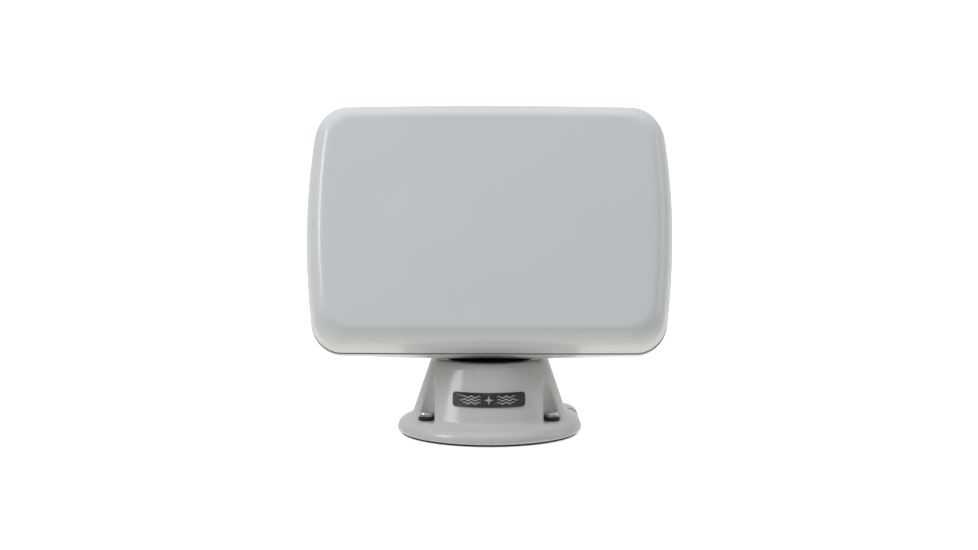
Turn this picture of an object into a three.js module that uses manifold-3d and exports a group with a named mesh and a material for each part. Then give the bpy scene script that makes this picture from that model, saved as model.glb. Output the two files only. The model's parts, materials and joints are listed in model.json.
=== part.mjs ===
// A marine display pod on a swivelling and tilting deck pedestal.
// Millimetres, +Z up, the blank display face looks towards -Y, and the origin is the centre of the
// pedestal's underside. Three groups move against each other: the pedestal is bolted to the deck,
// the turntable swivels in it about Z, and the pod tilts on the turntable's cradle about X.
import * as THREE from 'three';
import { mergeVertices } from 'three/addons/utils/BufferGeometryUtils.js';
import Module from 'manifold-3d';

const wasm = await Module();
wasm.setup();

// Shared sizes
const GAP = 0.3; // clearance between pieces that touch
const REACH = 400; // longer than the whole object, for cutting blocks
const MERGE_TOLERANCE = 1e-4;
const QUARTER = Math.PI / 2;
const TURN = Math.PI * 2;
const SMALL_ROUND = 12; // sides of screws and small holes
const MIDDLE_ROUND = 32; // sides of bores, washers and seals

// Pod outline, seen square to the face
const POD_HALF_WIDTH = 170.2;
const POD_HALF_HEIGHT = 116.4;
const TOP_CORNER = 27;
const BOTTOM_CORNER = 25.5;
const CORNER_TIGHTENING = 0.45; // how much a corner's radius shrinks as the outline is drawn in
const TOP_SIDE_BOW = 0.062;
const BOTTOM_SIDE_BOW = 0.054;
const TOP_BOW = 0.02;
const BOTTOM_BOW = 0.004;
const CORNER_STEPS = 4;
const SIDE_STEPS = 3;
const REAR_STEPS = 7;
const FRONT_STEPS = 5;

// Pod depths, square to the seam between the two shells
const FACE_DEPTH = 42;
const BACK_DEPTH = 73;
const FRONT_ROLL_START = 21;
const FRONT_ROLL_WIDTH = 13.3;
const FRONT_DRAFT = 0.14;
const FRONT_STEP = 0.7; // how far the front shell stands inside the rear one at the seam
const REAR_ROLL_START = 5;
const REAR_ROLL_WIDTH = 70;
const REAR_POWER = 2.35;
const SEAM_CHAMFER = 0.5;
const WALL = 3.5;
const GASKET_HALF = 1.5;
const GASKET_INSET = 0.6;
const LIP_INSET = 7.5;
const SHELL_END = GASKET_HALF + GAP;

// Tilt: a horizontal axis inside the pod, about which the underside is a barrel
const REST_TILT = THREE.MathUtils.degToRad(17.5);
const TILT_FORWARD = THREE.MathUtils.degToRad(17.5);
const TILT_BACK = THREE.MathUtils.degToRad(15);
const TILT_AXIS_Y = -19;
const TILT_AXIS_Z = 132.4;
const SEAM_AHEAD = 13.9; // from the tilt axis forward to the seam plane
const POD_CENTRE_ABOVE = 57.5; // from the tilt axis up to the middle of the pod
const BARREL_RADIUS = 60;
const BARREL_WALL = 3.2;
const BARREL_FLAT_HALF = 40;
const BARREL_HALF = 130;
const BARREL_DROP = 6;
const BARREL_SEGMENTS = 56;
const SHOULDER_STEPS = 3;
const SLOT_STEPS = 9;

// Pedestal
const GASKET_THICK = 1.6;
const GASKET_MARGIN = 3; // how far the gasket stops short of the flange's edge
const BASE_BOTTOM = GASKET_THICK + GAP;
const FLANGE_RADIUS = 86.4;
const FLANGE_TOP = 14.2;
const FLANGE_CROWN = 9.6; // radius of the flange's upper edge
const FLANGE_FOOT = 2.7; // radius of its lower edge
const PEDESTAL_TOP = 71.1;
const CAVITY_FOOT = 57; // the cavity's radius at the deck, and below at its top
const CAVITY_THROAT = 52;
const CAVITY_THROAT_HEIGHT = 12;
const CAVITY_CROWN = 49;
const CAVITY_END = 46;
const CAVITY_TOP = 58.5;
const HUB_RADIUS = 27;
const HUB_BOTTOM = 50;
const BORE_RADIUS = 20.4;
const RECESS_RADIUS = 42;
const RECESS_FLOOR = 64;
const CONE_FOOT_RADIUS = 78.5; // where its side would reach the deck
const CONE_SLOPE = 0.339;
const CONE_SHOULDER = 5.5;
const CONE_FILLET_TOP = 27.5; // where the hollow curve up from the flange meets the cone
const CONE_FILLET_PULL = 1.2; // how far above the flange that curve is drawn towards
const FILLET_STEPS = 3;
const EAR_ANGLE = THREE.MathUtils.degToRad(45.5);
const EAR_DISTANCE = 84;
const EAR_RADIUS = 25;
const PEDESTAL_SEGMENTS = 48;

// Deck screws, in scooped pockets at the foot of the cone
const SCREW_CIRCLE = 67.6;
const SCREW_OFF_X = THREE.MathUtils.degToRad(30);
const SCREW_SHANK = 3;
const SCREW_HEAD = 6.25;
const SCREW_HEAD_EDGE = 2;
const SCREW_HEAD_HEIGHT = 4.4;
const SCREW_RECESS = 2.2;
const SCREW_RECESS_DEPTH = 2.4;
const SCREW_POINT = 0.6;
const POCKET_FLOOR = 16;
const POCKET_RADIUS = 8;
const WASHER_RADIUS = 7;
const WASHER_THICK = 3.2;

// Badge, wrapped round the front of the cone
const BADGE_BOTTOM = 34;
const BADGE_TOP = 46.8;
const BADGE_HALF_WIDTH = 33.5;
const BADGE_LIFT = 0.4;
const BADGE_THICK = 1;
const BADGE_ROUND = 72;

// Turntable
const DISC_RADIUS = 41.5;
const DISC_BOTTOM = 67;
const DISC_TOP = 71.8;
const DISC_EDGE = 0.8;
const STEM_RADIUS = 19;
const STEM_BORE = 12;
const STEM_BOTTOM = 40;
const CRADLE_HALF_WIDTH = 34;
const CRADLE_FRONT = -28;
const CRADLE_BACK = 26;
const CRADLE_TOP = 92;
const SWIVEL_LIMIT = THREE.MathUtils.degToRad(150);
const STOP_CIRCLE = 35.5;
const STOP_PIN_RADIUS = 1.8;
const STOP_PIN_RISE = 2; // of the pin into the groove under the disc
const STOP_GROOVE_DEPTH = 2.5;
const STOP_GROOVE_SIDE = 0.8;
const THRUST_WASHER_RADIUS = 30;

// Swivel stack on the stem, from the nut up
const NUT_BOTTOM = 40.6;
const NUT_TOP = 46.4;
const SPRING_TOP = 47.9;
const FRICTION_BOTTOM = 48.2;
const LOCK_SCREW_RADIUS = 1.5;
const LOCK_SCREW_END = 23;
const O_RING_HEIGHT = 58.1;
const O_RING_THICKNESS = 1.05;
const O_RING_GROOVE = 1.5; // its depth, and its reach above and below the ring's middle
const O_RING_SIDES = 6;

// Clamp that holds the pod down on the cradle
const CLAMP_ANGLE = Math.asin(-TILT_AXIS_Y / BARREL_RADIUS);
const CLAMP_HALF_ARC = THREE.MathUtils.degToRad(12);
const CLAMP_THICK = 2.4;
const CLAMP_OUTER = BARREL_RADIUS - BARREL_WALL - GAP;
const CLAMP_INNER = CLAMP_OUTER - CLAMP_THICK;
const CLAMP_BOLT_X = 24;
const CLAMP_BOLT_RADIUS = 2.5;
const CLAMP_BOLT_REACH = 67.2;
const CLAMP_HEAD_RADIUS = 4.4;
const CLAMP_HEAD_HEIGHT = 5;
const CLAMP_HEAD_EDGE = 0.5;
const CLAMP_HEX_RADIUS = 2.1;
const CLAMP_HEX_DEPTH = 3;
const CLAMP_STEPS = 6;
const LOCK_WASHER_RADIUS = 4.8;
const LOCK_WASHER_THICK = 1.2;

// Cover screws, driven from behind into inserts in the front shell
const COVER_SCREW_RADIUS = 2.1;
const COVER_SCREW_SEAT = 26;
const COVER_SCREW_TIP = -11;
const COVER_TUNNEL_RADIUS = 5.6;
const COVER_HEAD_RADIUS = 4.6;
const COVER_HEAD_HEIGHT = 3.2;
const COVER_HEAD_EDGE = 1;
const COVER_HEX_RADIUS = 1.5;
const COVER_HEX_DEPTH = 1.6;
const COVER_SEAL_RADIUS = 4.4;
const COVER_SEAL_THICK = 1.2;
const INSERT_RADIUS = 3.6;
const INSERT_WALL = 3;
const COVER_SCREWS = [
  ['top_left', -143, 92],
  ['top_right', 143, 92],
  ['middle_left', -156, 0],
  ['middle_right', 156, 0],
  ['bottom_left', -143, -92],
  ['bottom_right', 143, -92],
];

const materials = {
  whiteGloss: new THREE.MeshStandardMaterial({ color: 0xd9dbd8, roughness: 0.22, metalness: 0 }),
  blackPlastic: new THREE.MeshStandardMaterial({ color: 0x151516, roughness: 0.45, metalness: 0 }),
  rubber: new THREE.MeshStandardMaterial({ color: 0x1b1b1b, roughness: 0.8, metalness: 0 }),
  stainless: new THREE.MeshStandardMaterial({ color: 0xb9bbbd, roughness: 0.28, metalness: 1 }),
  brass: new THREE.MeshStandardMaterial({ color: 0xb08d45, roughness: 0.35, metalness: 1 }),
  badge: new THREE.MeshStandardMaterial({ color: 0x2d2d2f, roughness: 0.3, metalness: 0 }),
  acetal: new THREE.MeshStandardMaterial({ color: 0xe6e4dc, roughness: 0.5, metalness: 0 }),
};

// ---------------------------------------------------------------- solids

function solidOf(geometry) {
  const bare = geometry.clone();
  bare.deleteAttribute('normal');
  bare.deleteAttribute('uv');
  const merged = mergeVertices(bare, MERGE_TOLERANCE);
  const index = merged.index.array;
  const triangles = [];
  for (let corner = 0; corner < index.length; corner += 3) {
    const [a, b, c] = [index[corner], index[corner + 1], index[corner + 2]];
    if (a !== b && b !== c && c !== a) triangles.push(a, b, c);
  }
  return new wasm.Manifold(
    new wasm.Mesh({
      numProp: 3,
      vertProperties: merged.attributes.position.array,
      triVerts: new Uint32Array(triangles),
    }),
  );
}

function meshOf(name, solid, material) {
  const { vertProperties, triVerts } = solid.getMesh();
  const geometry = new THREE.BufferGeometry();
  geometry.setAttribute('position', new THREE.BufferAttribute(vertProperties, 3));
  geometry.setIndex(new THREE.BufferAttribute(triVerts, 1));
  const mesh = new THREE.Mesh(geometry, material);
  mesh.name = name;
  return mesh;
}

// A solid turned about Z. The outline runs anticlockwise in radius and height.
function turned(outline, segments) {
  const points = outline.map(([radius, height]) => new THREE.Vector2(radius, height));
  return solidOf(new THREE.LatheGeometry(points, segments).rotateX(QUARTER));
}

function disc(radius, bottom, top, segments) {
  return turned([[0, bottom], [radius, bottom], [radius, top], [0, top]], segments);
}

// An arc in radius and height, from one angle above the horizontal to another.
function arcPoints(centreRadius, centreHeight, radius, from, to, steps) {
  return Array.from({ length: steps + 1 }, (_, step) => {
    const angle = from + ((to - from) * step) / steps;
    return [centreRadius + radius * Math.cos(angle), centreHeight + radius * Math.sin(angle)];
  });
}

function ring(inner, outer, bottom, top, segments) {
  const outline = [[inner, bottom], [outer, bottom], [outer, top], [inner, top], [inner, bottom]];
  return turned(outline, segments);
}

function torus(radius, thickness, height, segments) {
  const geometry = new THREE.TorusGeometry(radius, thickness, O_RING_SIDES, segments);
  return solidOf(geometry.translate(0, 0, height));
}

function block(low, high) {
  const size = high.map((value, axis) => value - low[axis]);
  const middle = high.map((value, axis) => (value + low[axis]) / 2);
  return solidOf(new THREE.BoxGeometry(...size).translate(...middle));
}

// A bar of an outline in Y and Z, as long as width, centred on X = 0.
function extrudedAlongX(points, width) {
  const shape = new THREE.Shape(points.map(([y, z]) => new THREE.Vector2(y, z)));
  const geometry = new THREE.ExtrudeGeometry(shape, { depth: width, bevelEnabled: false });
  geometry.translate(0, 0, -width / 2);
  const basis = new THREE.Matrix4().makeBasis(
    new THREE.Vector3(0, 1, 0),
    new THREE.Vector3(0, 0, 1),
    new THREE.Vector3(1, 0, 0),
  );
  return solidOf(geometry.applyMatrix4(basis));
}

// Part of a tube about X. Angles are measured from straight down towards +Y.
function arcPlate(inner, outer, from, to, width, steps) {
  const arc = (radius, start, end) =>
    Array.from({ length: steps + 1 }, (_, step) => {
      const angle = start + ((end - start) * step) / steps;
      return [radius * Math.sin(angle), -radius * Math.cos(angle)];
    });
  return extrudedAlongX([...arc(outer, from, to), ...arc(inner, to, from)], width);
}

function joined(solids) {
  return solids.reduce((whole, solid) => whole.add(solid));
}

function cut(solid, cutters) {
  return cutters.reduce((whole, cutter) => whole.subtract(cutter), solid);
}

// ---------------------------------------------------------------- pod shells

// The pod's outline drawn in by inset: a rounded rectangle whose sides bow outwards.
function podOutline(inset) {
  const topRadius = TOP_CORNER - CORNER_TIGHTENING * inset;
  const bottomRadius = BOTTOM_CORNER - CORNER_TIGHTENING * inset / 2;
  const corners = [[1, 1, topRadius], [1, -1, bottomRadius], [-1, -1, bottomRadius], [-1, 1, topRadius]];
  const centres = corners.map(([side, end, asked]) => {
    const radius = Math.min(asked, POD_HALF_HEIGHT - inset);
    const x = side * (POD_HALF_WIDTH - inset - radius);
    return [x, end * (POD_HALF_HEIGHT - inset - radius), radius];
  });
  const onCorner = (corner, step) => {
    const [x, z, radius] = centres[corner % centres.length];
    const angle = (corner + step / CORNER_STEPS) * QUARTER;
    return [x + radius * Math.sin(angle), z + radius * Math.cos(angle)];
  };
  const points = [];
  for (let corner = 0; corner < centres.length; corner += 1) {
    for (let step = 0; step <= CORNER_STEPS; step += 1) points.push(onCorner(corner, step));
    const [startX, startZ] = onCorner(corner, CORNER_STEPS);
    const [endX, endZ] = onCorner(corner + 1, 0);
    for (let step = 1; step < SIDE_STEPS; step += 1) {
      const along = step / SIDE_STEPS;
      points.push([startX + (endX - startX) * along, startZ + (endZ - startZ) * along]);
    }
  }
  return points.map(([x, z]) => {
    const sideBow = z > 0 ? TOP_SIDE_BOW : BOTTOM_SIDE_BOW;
    const endBow = z > 0 ? TOP_BOW : BOTTOM_BOW;
    return [
      x * (1 - sideBow * (z / POD_HALF_HEIGHT) ** 2),
      z * (1 - endBow * (x / POD_HALF_WIDTH) ** 2),
    ];
  });
}

// A quarter of a superellipse as [depth, width] points, leaving along the depth.
function rolled(depth, width, power, steps) {
  return Array.from({ length: steps + 1 }, (_, step) => {
    const angle = (QUARTER * step) / steps;
    return [depth * Math.sin(angle) ** (2 / power), width * (1 - Math.cos(angle) ** (2 / power))];
  });
}

// A closed form through pod outlines. Each row is [depth, inset], from the back to the front.
function podForm(rows) {
  const outlines = rows.map(([, inset]) => podOutline(inset));
  const around = outlines[0].length;
  const down = rows.length - 1;
  const geometry = new THREE.CylinderGeometry(1, 1, 1, around, down);
  const position = geometry.attributes.position;
  for (let vertex = 0; vertex < position.count; vertex += 1) {
    const x = position.getX(vertex);
    const z = position.getZ(vertex);
    const row = Math.round((0.5 - position.getY(vertex)) * down);
    const place = Math.round((Math.atan2(x, z) / TURN + 1) * around) % around;
    const onAxis = Math.hypot(x, z) < 0.5;
    const [outX, outZ] = onAxis ? [0, 0] : outlines[row][place];
    position.setXYZ(vertex, outX, rows[row][0], outZ);
  }
  return solidOf(geometry);
}

function barrel(radius) {
  const span = BARREL_HALF - BARREL_FLAT_HALF;
  const shoulder = Array.from({ length: SHOULDER_STEPS + 1 }, (_, step) => {
    const along = step / SHOULDER_STEPS;
    const drop = BARREL_DROP * (1 - Math.sqrt(1 - along ** 2));
    return [radius - drop, BARREL_FLAT_HALF + span * along];
  });
  const lower = shoulder.map(([r, x]) => [r, -x]).reverse();
  const outline = [[0, -BARREL_HALF], ...lower, ...shoulder, [0, BARREL_HALF]];
  return turned(outline, BARREL_SEGMENTS)
    .rotate([0, 90, 0])
    .translate([0, SEAM_AHEAD, -POD_CENTRE_ABOVE]);
}

// The pod turns about its own axis, so a slot for a piece fixed to the cradle is an arc there.
function podArcSlot(width, halfLength, x) {
  const angle = CLAMP_ANGLE + REST_TILT;
  const slack = halfLength / BARREL_RADIUS;
  return arcPlate(
    BARREL_RADIUS - 2 * BARREL_WALL,
    BARREL_RADIUS + BARREL_WALL,
    angle - TILT_FORWARD - slack,
    angle + TILT_BACK + slack,
    width,
    SLOT_STEPS,
  ).translate([x, SEAM_AHEAD, -POD_CENTRE_ABOVE]);
}

// A cylinder along the pod's depth axis.
function podPost(x, z, radius, front, back, segments) {
  return disc(radius, front, back, segments).rotate([-90, 0, 0]).translate([x, 0, z]);
}

// Rows of the rear shell from the flat back to the seam, drawn in by wall.
function rearRows(wall) {
  const roll = rolled(BACK_DEPTH - REAR_ROLL_START - wall, REAR_ROLL_WIDTH - wall, REAR_POWER, REAR_STEPS);
  return roll.map(([depth, inset]) => [depth + REAR_ROLL_START, inset + wall]).reverse();
}

function rearShell() {
  const outer = podForm([...rearRows(0), [SHELL_END, SEAM_CHAMFER]]);
  const hollowRows = rearRows(WALL).filter(([, inset]) => inset > LIP_INSET);
  const inner = podForm([...hollowRows, [0, LIP_INSET]]);
  const behindSeam = block([-REACH, SHELL_END, -REACH], [REACH, REACH, REACH]);
  const body = outer.add(barrel(BARREL_RADIUS).intersect(behindSeam));
  const hollow = inner.add(barrel(BARREL_RADIUS - BARREL_WALL).intersect(behindSeam));
  const posts = COVER_SCREWS.map(([, x, z]) =>
    podPost(x, z, COVER_TUNNEL_RADIUS + WALL / 2, SHELL_END, BACK_DEPTH, SMALL_ROUND));
  const tunnels = COVER_SCREWS.flatMap(([, x, z]) => [
    podPost(x, z, COVER_TUNNEL_RADIUS, COVER_SCREW_SEAT, REACH, SMALL_ROUND),
    podPost(x, z, COVER_SCREW_RADIUS + GAP, 0, REACH, SMALL_ROUND),
  ]);
  const slots = [
    podArcSlot(2 * (CLAMP_BOLT_RADIUS + 2 * GAP), CLAMP_BOLT_RADIUS + 1, -CLAMP_BOLT_X),
    podArcSlot(2 * (CLAMP_BOLT_RADIUS + 2 * GAP), CLAMP_BOLT_RADIUS + 1, CLAMP_BOLT_X),
    podArcSlot(2 * (STEM_BORE + 1), STEM_BORE, 0),
  ];
  const walls = joined([body.subtract(hollow), joined(posts).intersect(body)]);
  return meshOf('rear_shell', cut(walls, [...tunnels, ...slots]), materials.whiteGloss);
}

// Rows of the front shell from the seam to the rim of the face, drawn in by wall.
function frontRows(wall) {
  const roll = rolled(FACE_DEPTH - FRONT_ROLL_START - wall, FRONT_ROLL_WIDTH, 2, FRONT_STEPS);
  return roll.map(([depth, inset]) => {
    const ahead = depth + FRONT_ROLL_START;
    return [-ahead, inset + FRONT_DRAFT * ahead + wall];
  });
}

function frontShell() {
  const seamRows = [[-SHELL_END, FRONT_STEP + SEAM_CHAMFER], [-2 * SHELL_END, FRONT_STEP]];
  const outer = podForm([...seamRows, ...frontRows(0)]);
  const inner = podForm([[0, LIP_INSET], ...frontRows(WALL)]);
  const posts = COVER_SCREWS.map(([, x, z]) =>
    podPost(x, z, INSERT_RADIUS + INSERT_WALL, WALL / 2 - FACE_DEPTH, -SHELL_END, SMALL_ROUND));
  const sockets = COVER_SCREWS.map(([, x, z]) =>
    podPost(x, z, INSERT_RADIUS + GAP, COVER_SCREW_TIP - 2, 0, SMALL_ROUND));
  const walls = joined([outer.subtract(inner), joined(posts).intersect(outer)]);
  return meshOf('front_shell', cut(walls, sockets), materials.whiteGloss);
}

function perimeterGasket() {
  const rubber = podForm([[GASKET_HALF, GASKET_INSET], [-GASKET_HALF, GASKET_INSET]]);
  const opening = podForm([[SHELL_END, LIP_INSET], [-SHELL_END, LIP_INSET]]);
  return meshOf('perimeter_gasket', rubber.subtract(opening), materials.rubber);
}

// A piece turned about a cover screw's own axis, laid along the pod's depth.
function onCoverScrew(solid, x, z) {
  return solid.rotate([-90, 0, 0]).translate([x, 0, z]);
}

function coverScrews() {
  const sealBottom = COVER_SCREW_SEAT + GAP;
  const sealTop = sealBottom + COVER_SEAL_THICK;
  const headBottom = sealTop + GAP;
  const headTop = headBottom + COVER_HEAD_HEIGHT;
  const screw = turned([
    [0, COVER_SCREW_TIP], [COVER_SCREW_RADIUS - 2 * GAP, COVER_SCREW_TIP],
    [COVER_SCREW_RADIUS, COVER_SCREW_TIP + COVER_HEAD_EDGE], [COVER_SCREW_RADIUS, headBottom],
    [COVER_HEAD_RADIUS, headBottom], [COVER_HEAD_RADIUS, headTop - COVER_HEAD_EDGE],
    [COVER_HEAD_RADIUS - COVER_HEAD_EDGE, headTop], [COVER_HEX_RADIUS, headTop],
    [COVER_HEX_RADIUS, headTop - COVER_HEX_DEPTH], [0, headTop - COVER_HEX_DEPTH],
  ], SMALL_ROUND);
  const hole = COVER_SCREW_RADIUS + GAP;
  const insert = ring(hole, INSERT_RADIUS, COVER_SCREW_TIP, -SHELL_END - GAP, SMALL_ROUND);
  const seal = ring(hole, COVER_SEAL_RADIUS, sealBottom, sealTop, SMALL_ROUND);
  return COVER_SCREWS.flatMap(([place, x, z]) => [
    meshOf(`cover_screw_${place}`, onCoverScrew(screw, x, z), materials.stainless),
    meshOf(`threaded_insert_${place}`, onCoverScrew(insert, x, z), materials.brass),
    meshOf(`screw_seal_${place}`, onCoverScrew(seal, x, z), materials.rubber),
  ]);
}

// ---------------------------------------------------------------- pedestal

function screwPlaces() {
  return [
    ['front_left', Math.PI + SCREW_OFF_X],
    ['front_right', -SCREW_OFF_X],
    ['rear_left', Math.PI - SCREW_OFF_X],
    ['rear_right', SCREW_OFF_X],
  ];
}

function onScrewCircle(solid, angle) {
  return solid.translate([SCREW_CIRCLE * Math.cos(angle), SCREW_CIRCLE * Math.sin(angle), 0]);
}

function atEar(solid) {
  return solid.translate([EAR_DISTANCE * Math.cos(EAR_ANGLE), EAR_DISTANCE * Math.sin(EAR_ANGLE), 0]);
}

// The rounded rim shared by the flange and its ear, from the underside up to the flange's top.
function bullnose(radius) {
  return [
    ...arcPoints(radius - FLANGE_FOOT, BASE_BOTTOM + FLANGE_FOOT, FLANGE_FOOT, -QUARTER, 0, 2),
    ...arcPoints(radius - FLANGE_CROWN, FLANGE_TOP - FLANGE_CROWN, FLANGE_CROWN, 0, QUARTER, 4).slice(1),
  ];
}

// The cone's outside radius at a height.
function coneRadius(height) {
  return CONE_FOOT_RADIUS - CONE_SLOPE * height;
}

// The hollow curve from the flange's top up into the cone.
function coneFillet() {
  const start = new THREE.Vector2(FLANGE_RADIUS - FLANGE_CROWN, FLANGE_TOP);
  const pull = FLANGE_TOP + CONE_FILLET_PULL;
  const control = new THREE.Vector2(coneRadius(pull), pull);
  const end = new THREE.Vector2(coneRadius(CONE_FILLET_TOP), CONE_FILLET_TOP);
  const curve = new THREE.QuadraticBezierCurve(start, control, end);
  return curve.getPoints(FILLET_STEPS).slice(1).map(({ x, y }) => [x, y]);
}

// The rounded shoulder that runs off the cone into its flat top.
function coneShoulder() {
  const lean = Math.atan(CONE_SLOPE);
  const height = PEDESTAL_TOP - CONE_SHOULDER;
  const radius = coneRadius(height) - CONE_SHOULDER / Math.cos(lean);
  return arcPoints(radius, height, CONE_SHOULDER, lean, QUARTER, FILLET_STEPS);
}

// A pocket round a screw, open towards the front or the rear.
function screwPocket(angle) {
  const opens = Math.sign(Math.sin(angle));
  const channel = block([-POCKET_RADIUS, 0, POCKET_FLOOR], [POCKET_RADIUS, REACH, REACH])
    .rotate([0, 0, opens > 0 ? 0 : 180]);
  return onScrewCircle(disc(POCKET_RADIUS, POCKET_FLOOR, REACH, MIDDLE_ROUND).add(channel), angle);
}

function pedestalShell() {
  const outer = turned([
    [0, BASE_BOTTOM], ...bullnose(FLANGE_RADIUS), ...coneFillet(), ...coneShoulder(), [0, PEDESTAL_TOP],
  ], PEDESTAL_SEGMENTS);
  const ear = atEar(turned([[0, BASE_BOTTOM], ...bullnose(EAR_RADIUS), [0, FLANGE_TOP]], MIDDLE_ROUND));
  const cavity = turned([
    [0, 0], [CAVITY_FOOT, 0], [CAVITY_THROAT, CAVITY_THROAT_HEIGHT], [CAVITY_CROWN, HUB_BOTTOM],
    [CAVITY_END, CAVITY_TOP], [HUB_RADIUS, CAVITY_TOP], [HUB_RADIUS, HUB_BOTTOM], [0, HUB_BOTTOM],
  ], MIDDLE_ROUND);
  const bore = disc(BORE_RADIUS, NUT_TOP, PEDESTAL_TOP, MIDDLE_ROUND);
  const recess = disc(RECESS_RADIUS, RECESS_FLOOR, REACH, PEDESTAL_SEGMENTS);
  const pinHole = disc(STOP_PIN_RADIUS + GAP, HUB_BOTTOM, PEDESTAL_TOP, SMALL_ROUND)
    .translate([0, STOP_CIRCLE, 0]);
  const screwCuts = screwPlaces().flatMap(([, angle]) => [
    screwPocket(angle),
    onScrewCircle(disc(SCREW_SHANK + 2 * GAP, 0, POCKET_FLOOR + 1, SMALL_ROUND), angle),
  ]);
  const body = outer.add(ear);
  return meshOf('pedestal_shell', cut(body, [cavity, bore, recess, pinHole, ...screwCuts]),
    materials.whiteGloss);
}

function baseGasket() {
  const sheet = disc(FLANGE_RADIUS - GASKET_MARGIN, 0, GASKET_THICK, PEDESTAL_SEGMENTS)
    .add(atEar(disc(EAR_RADIUS - GASKET_MARGIN, 0, GASKET_THICK, MIDDLE_ROUND)));
  const holes = screwPlaces().map(([, angle]) =>
    onScrewCircle(disc(SCREW_SHANK + 2 * GAP, -1, GASKET_THICK + 1, SMALL_ROUND), angle));
  const opening = disc(CAVITY_FOOT + 1, -1, GASKET_THICK + 1, MIDDLE_ROUND);
  return meshOf('base_gasket', cut(sheet, [opening, ...holes]), materials.rubber);
}

function deckScrews() {
  const washerBottom = POCKET_FLOOR + GAP;
  const washerTop = washerBottom + WASHER_THICK;
  const headBottom = washerTop + GAP;
  const headTop = headBottom + SCREW_HEAD_HEIGHT;
  const domeWidth = SCREW_HEAD - SCREW_RECESS;
  const dome = rolled(SCREW_HEAD_HEIGHT - SCREW_HEAD_EDGE, domeWidth, 2, 3)
    .map(([rise, inset]) => [SCREW_HEAD - inset, headBottom + SCREW_HEAD_EDGE + rise]);
  const screw = turned([
    [0, GAP], [SCREW_SHANK - SCREW_POINT, GAP], [SCREW_SHANK, GAP + SCREW_POINT],
    [SCREW_SHANK, headBottom], [SCREW_HEAD, headBottom], ...dome,
    [SCREW_RECESS - SCREW_POINT, headTop - SCREW_RECESS_DEPTH], [0, headTop - SCREW_RECESS_DEPTH],
  ], SMALL_ROUND);
  const washer = ring(SCREW_SHANK + GAP, WASHER_RADIUS, washerBottom, washerTop, SMALL_ROUND);
  return screwPlaces().flatMap(([place, angle]) => [
    meshOf(`deck_screw_${place}`, onScrewCircle(screw, angle), materials.stainless),
    meshOf(`sealing_washer_${place}`, onScrewCircle(washer, angle), materials.rubber),
  ]);
}

function badgePlate() {
  const inner = (height) => coneRadius(height) + BADGE_LIFT;
  const band = turned([
    [inner(BADGE_BOTTOM), BADGE_BOTTOM], [inner(BADGE_BOTTOM) + BADGE_THICK, BADGE_BOTTOM],
    [inner(BADGE_TOP) + BADGE_THICK, BADGE_TOP], [inner(BADGE_TOP), BADGE_TOP],
    [inner(BADGE_BOTTOM), BADGE_BOTTOM],
  ], BADGE_ROUND);
  const front = block([-BADGE_HALF_WIDTH, -REACH, 0], [BADGE_HALF_WIDTH, 0, REACH]);
  return meshOf('badge_plate', band.intersect(front), materials.badge);
}

function thrustWasher() {
  const washer = ring(
    BORE_RADIUS + GAP, THRUST_WASHER_RADIUS, RECESS_FLOOR + GAP, DISC_BOTTOM - GAP, MIDDLE_ROUND);
  return meshOf('thrust_washer', washer, materials.acetal);
}

function stopPin() {
  const pin = disc(STOP_PIN_RADIUS, CAVITY_TOP, DISC_BOTTOM + STOP_PIN_RISE, SMALL_ROUND)
    .translate([0, STOP_CIRCLE, 0]);
  return meshOf('stop_pin', pin, materials.stainless);
}

// ---------------------------------------------------------------- turntable

function atTiltAxis(solid, turn) {
  const degrees = THREE.MathUtils.radToDeg(turn);
  return solid.rotate([degrees, 0, 0]).translate([0, TILT_AXIS_Y, TILT_AXIS_Z]);
}

// The groove under the disc that the stop pin runs in, with a solid lug left at the front.
function stopGroove() {
  const halfWidth = STOP_PIN_RADIUS + STOP_GROOVE_SIDE;
  const groove = ring(
    STOP_CIRCLE - halfWidth,
    STOP_CIRCLE + halfWidth,
    DISC_BOTTOM - 1,
    DISC_BOTTOM + STOP_GROOVE_DEPTH,
    PEDESTAL_SEGMENTS,
  );
  const lugHalf = Math.PI - SWIVEL_LIMIT - (STOP_PIN_RADIUS + GAP) / STOP_CIRCLE;
  const far = RECESS_RADIUS * 2;
  const shape = new THREE.Shape([
    new THREE.Vector2(0, 0),
    new THREE.Vector2(-far * Math.tan(lugHalf), -far),
    new THREE.Vector2(far * Math.tan(lugHalf), -far),
  ]);
  const lug = new THREE.ExtrudeGeometry(shape, { depth: PEDESTAL_TOP, bevelEnabled: false });
  return groove.subtract(solidOf(lug.translate(0, 0, CAVITY_TOP)));
}

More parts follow.
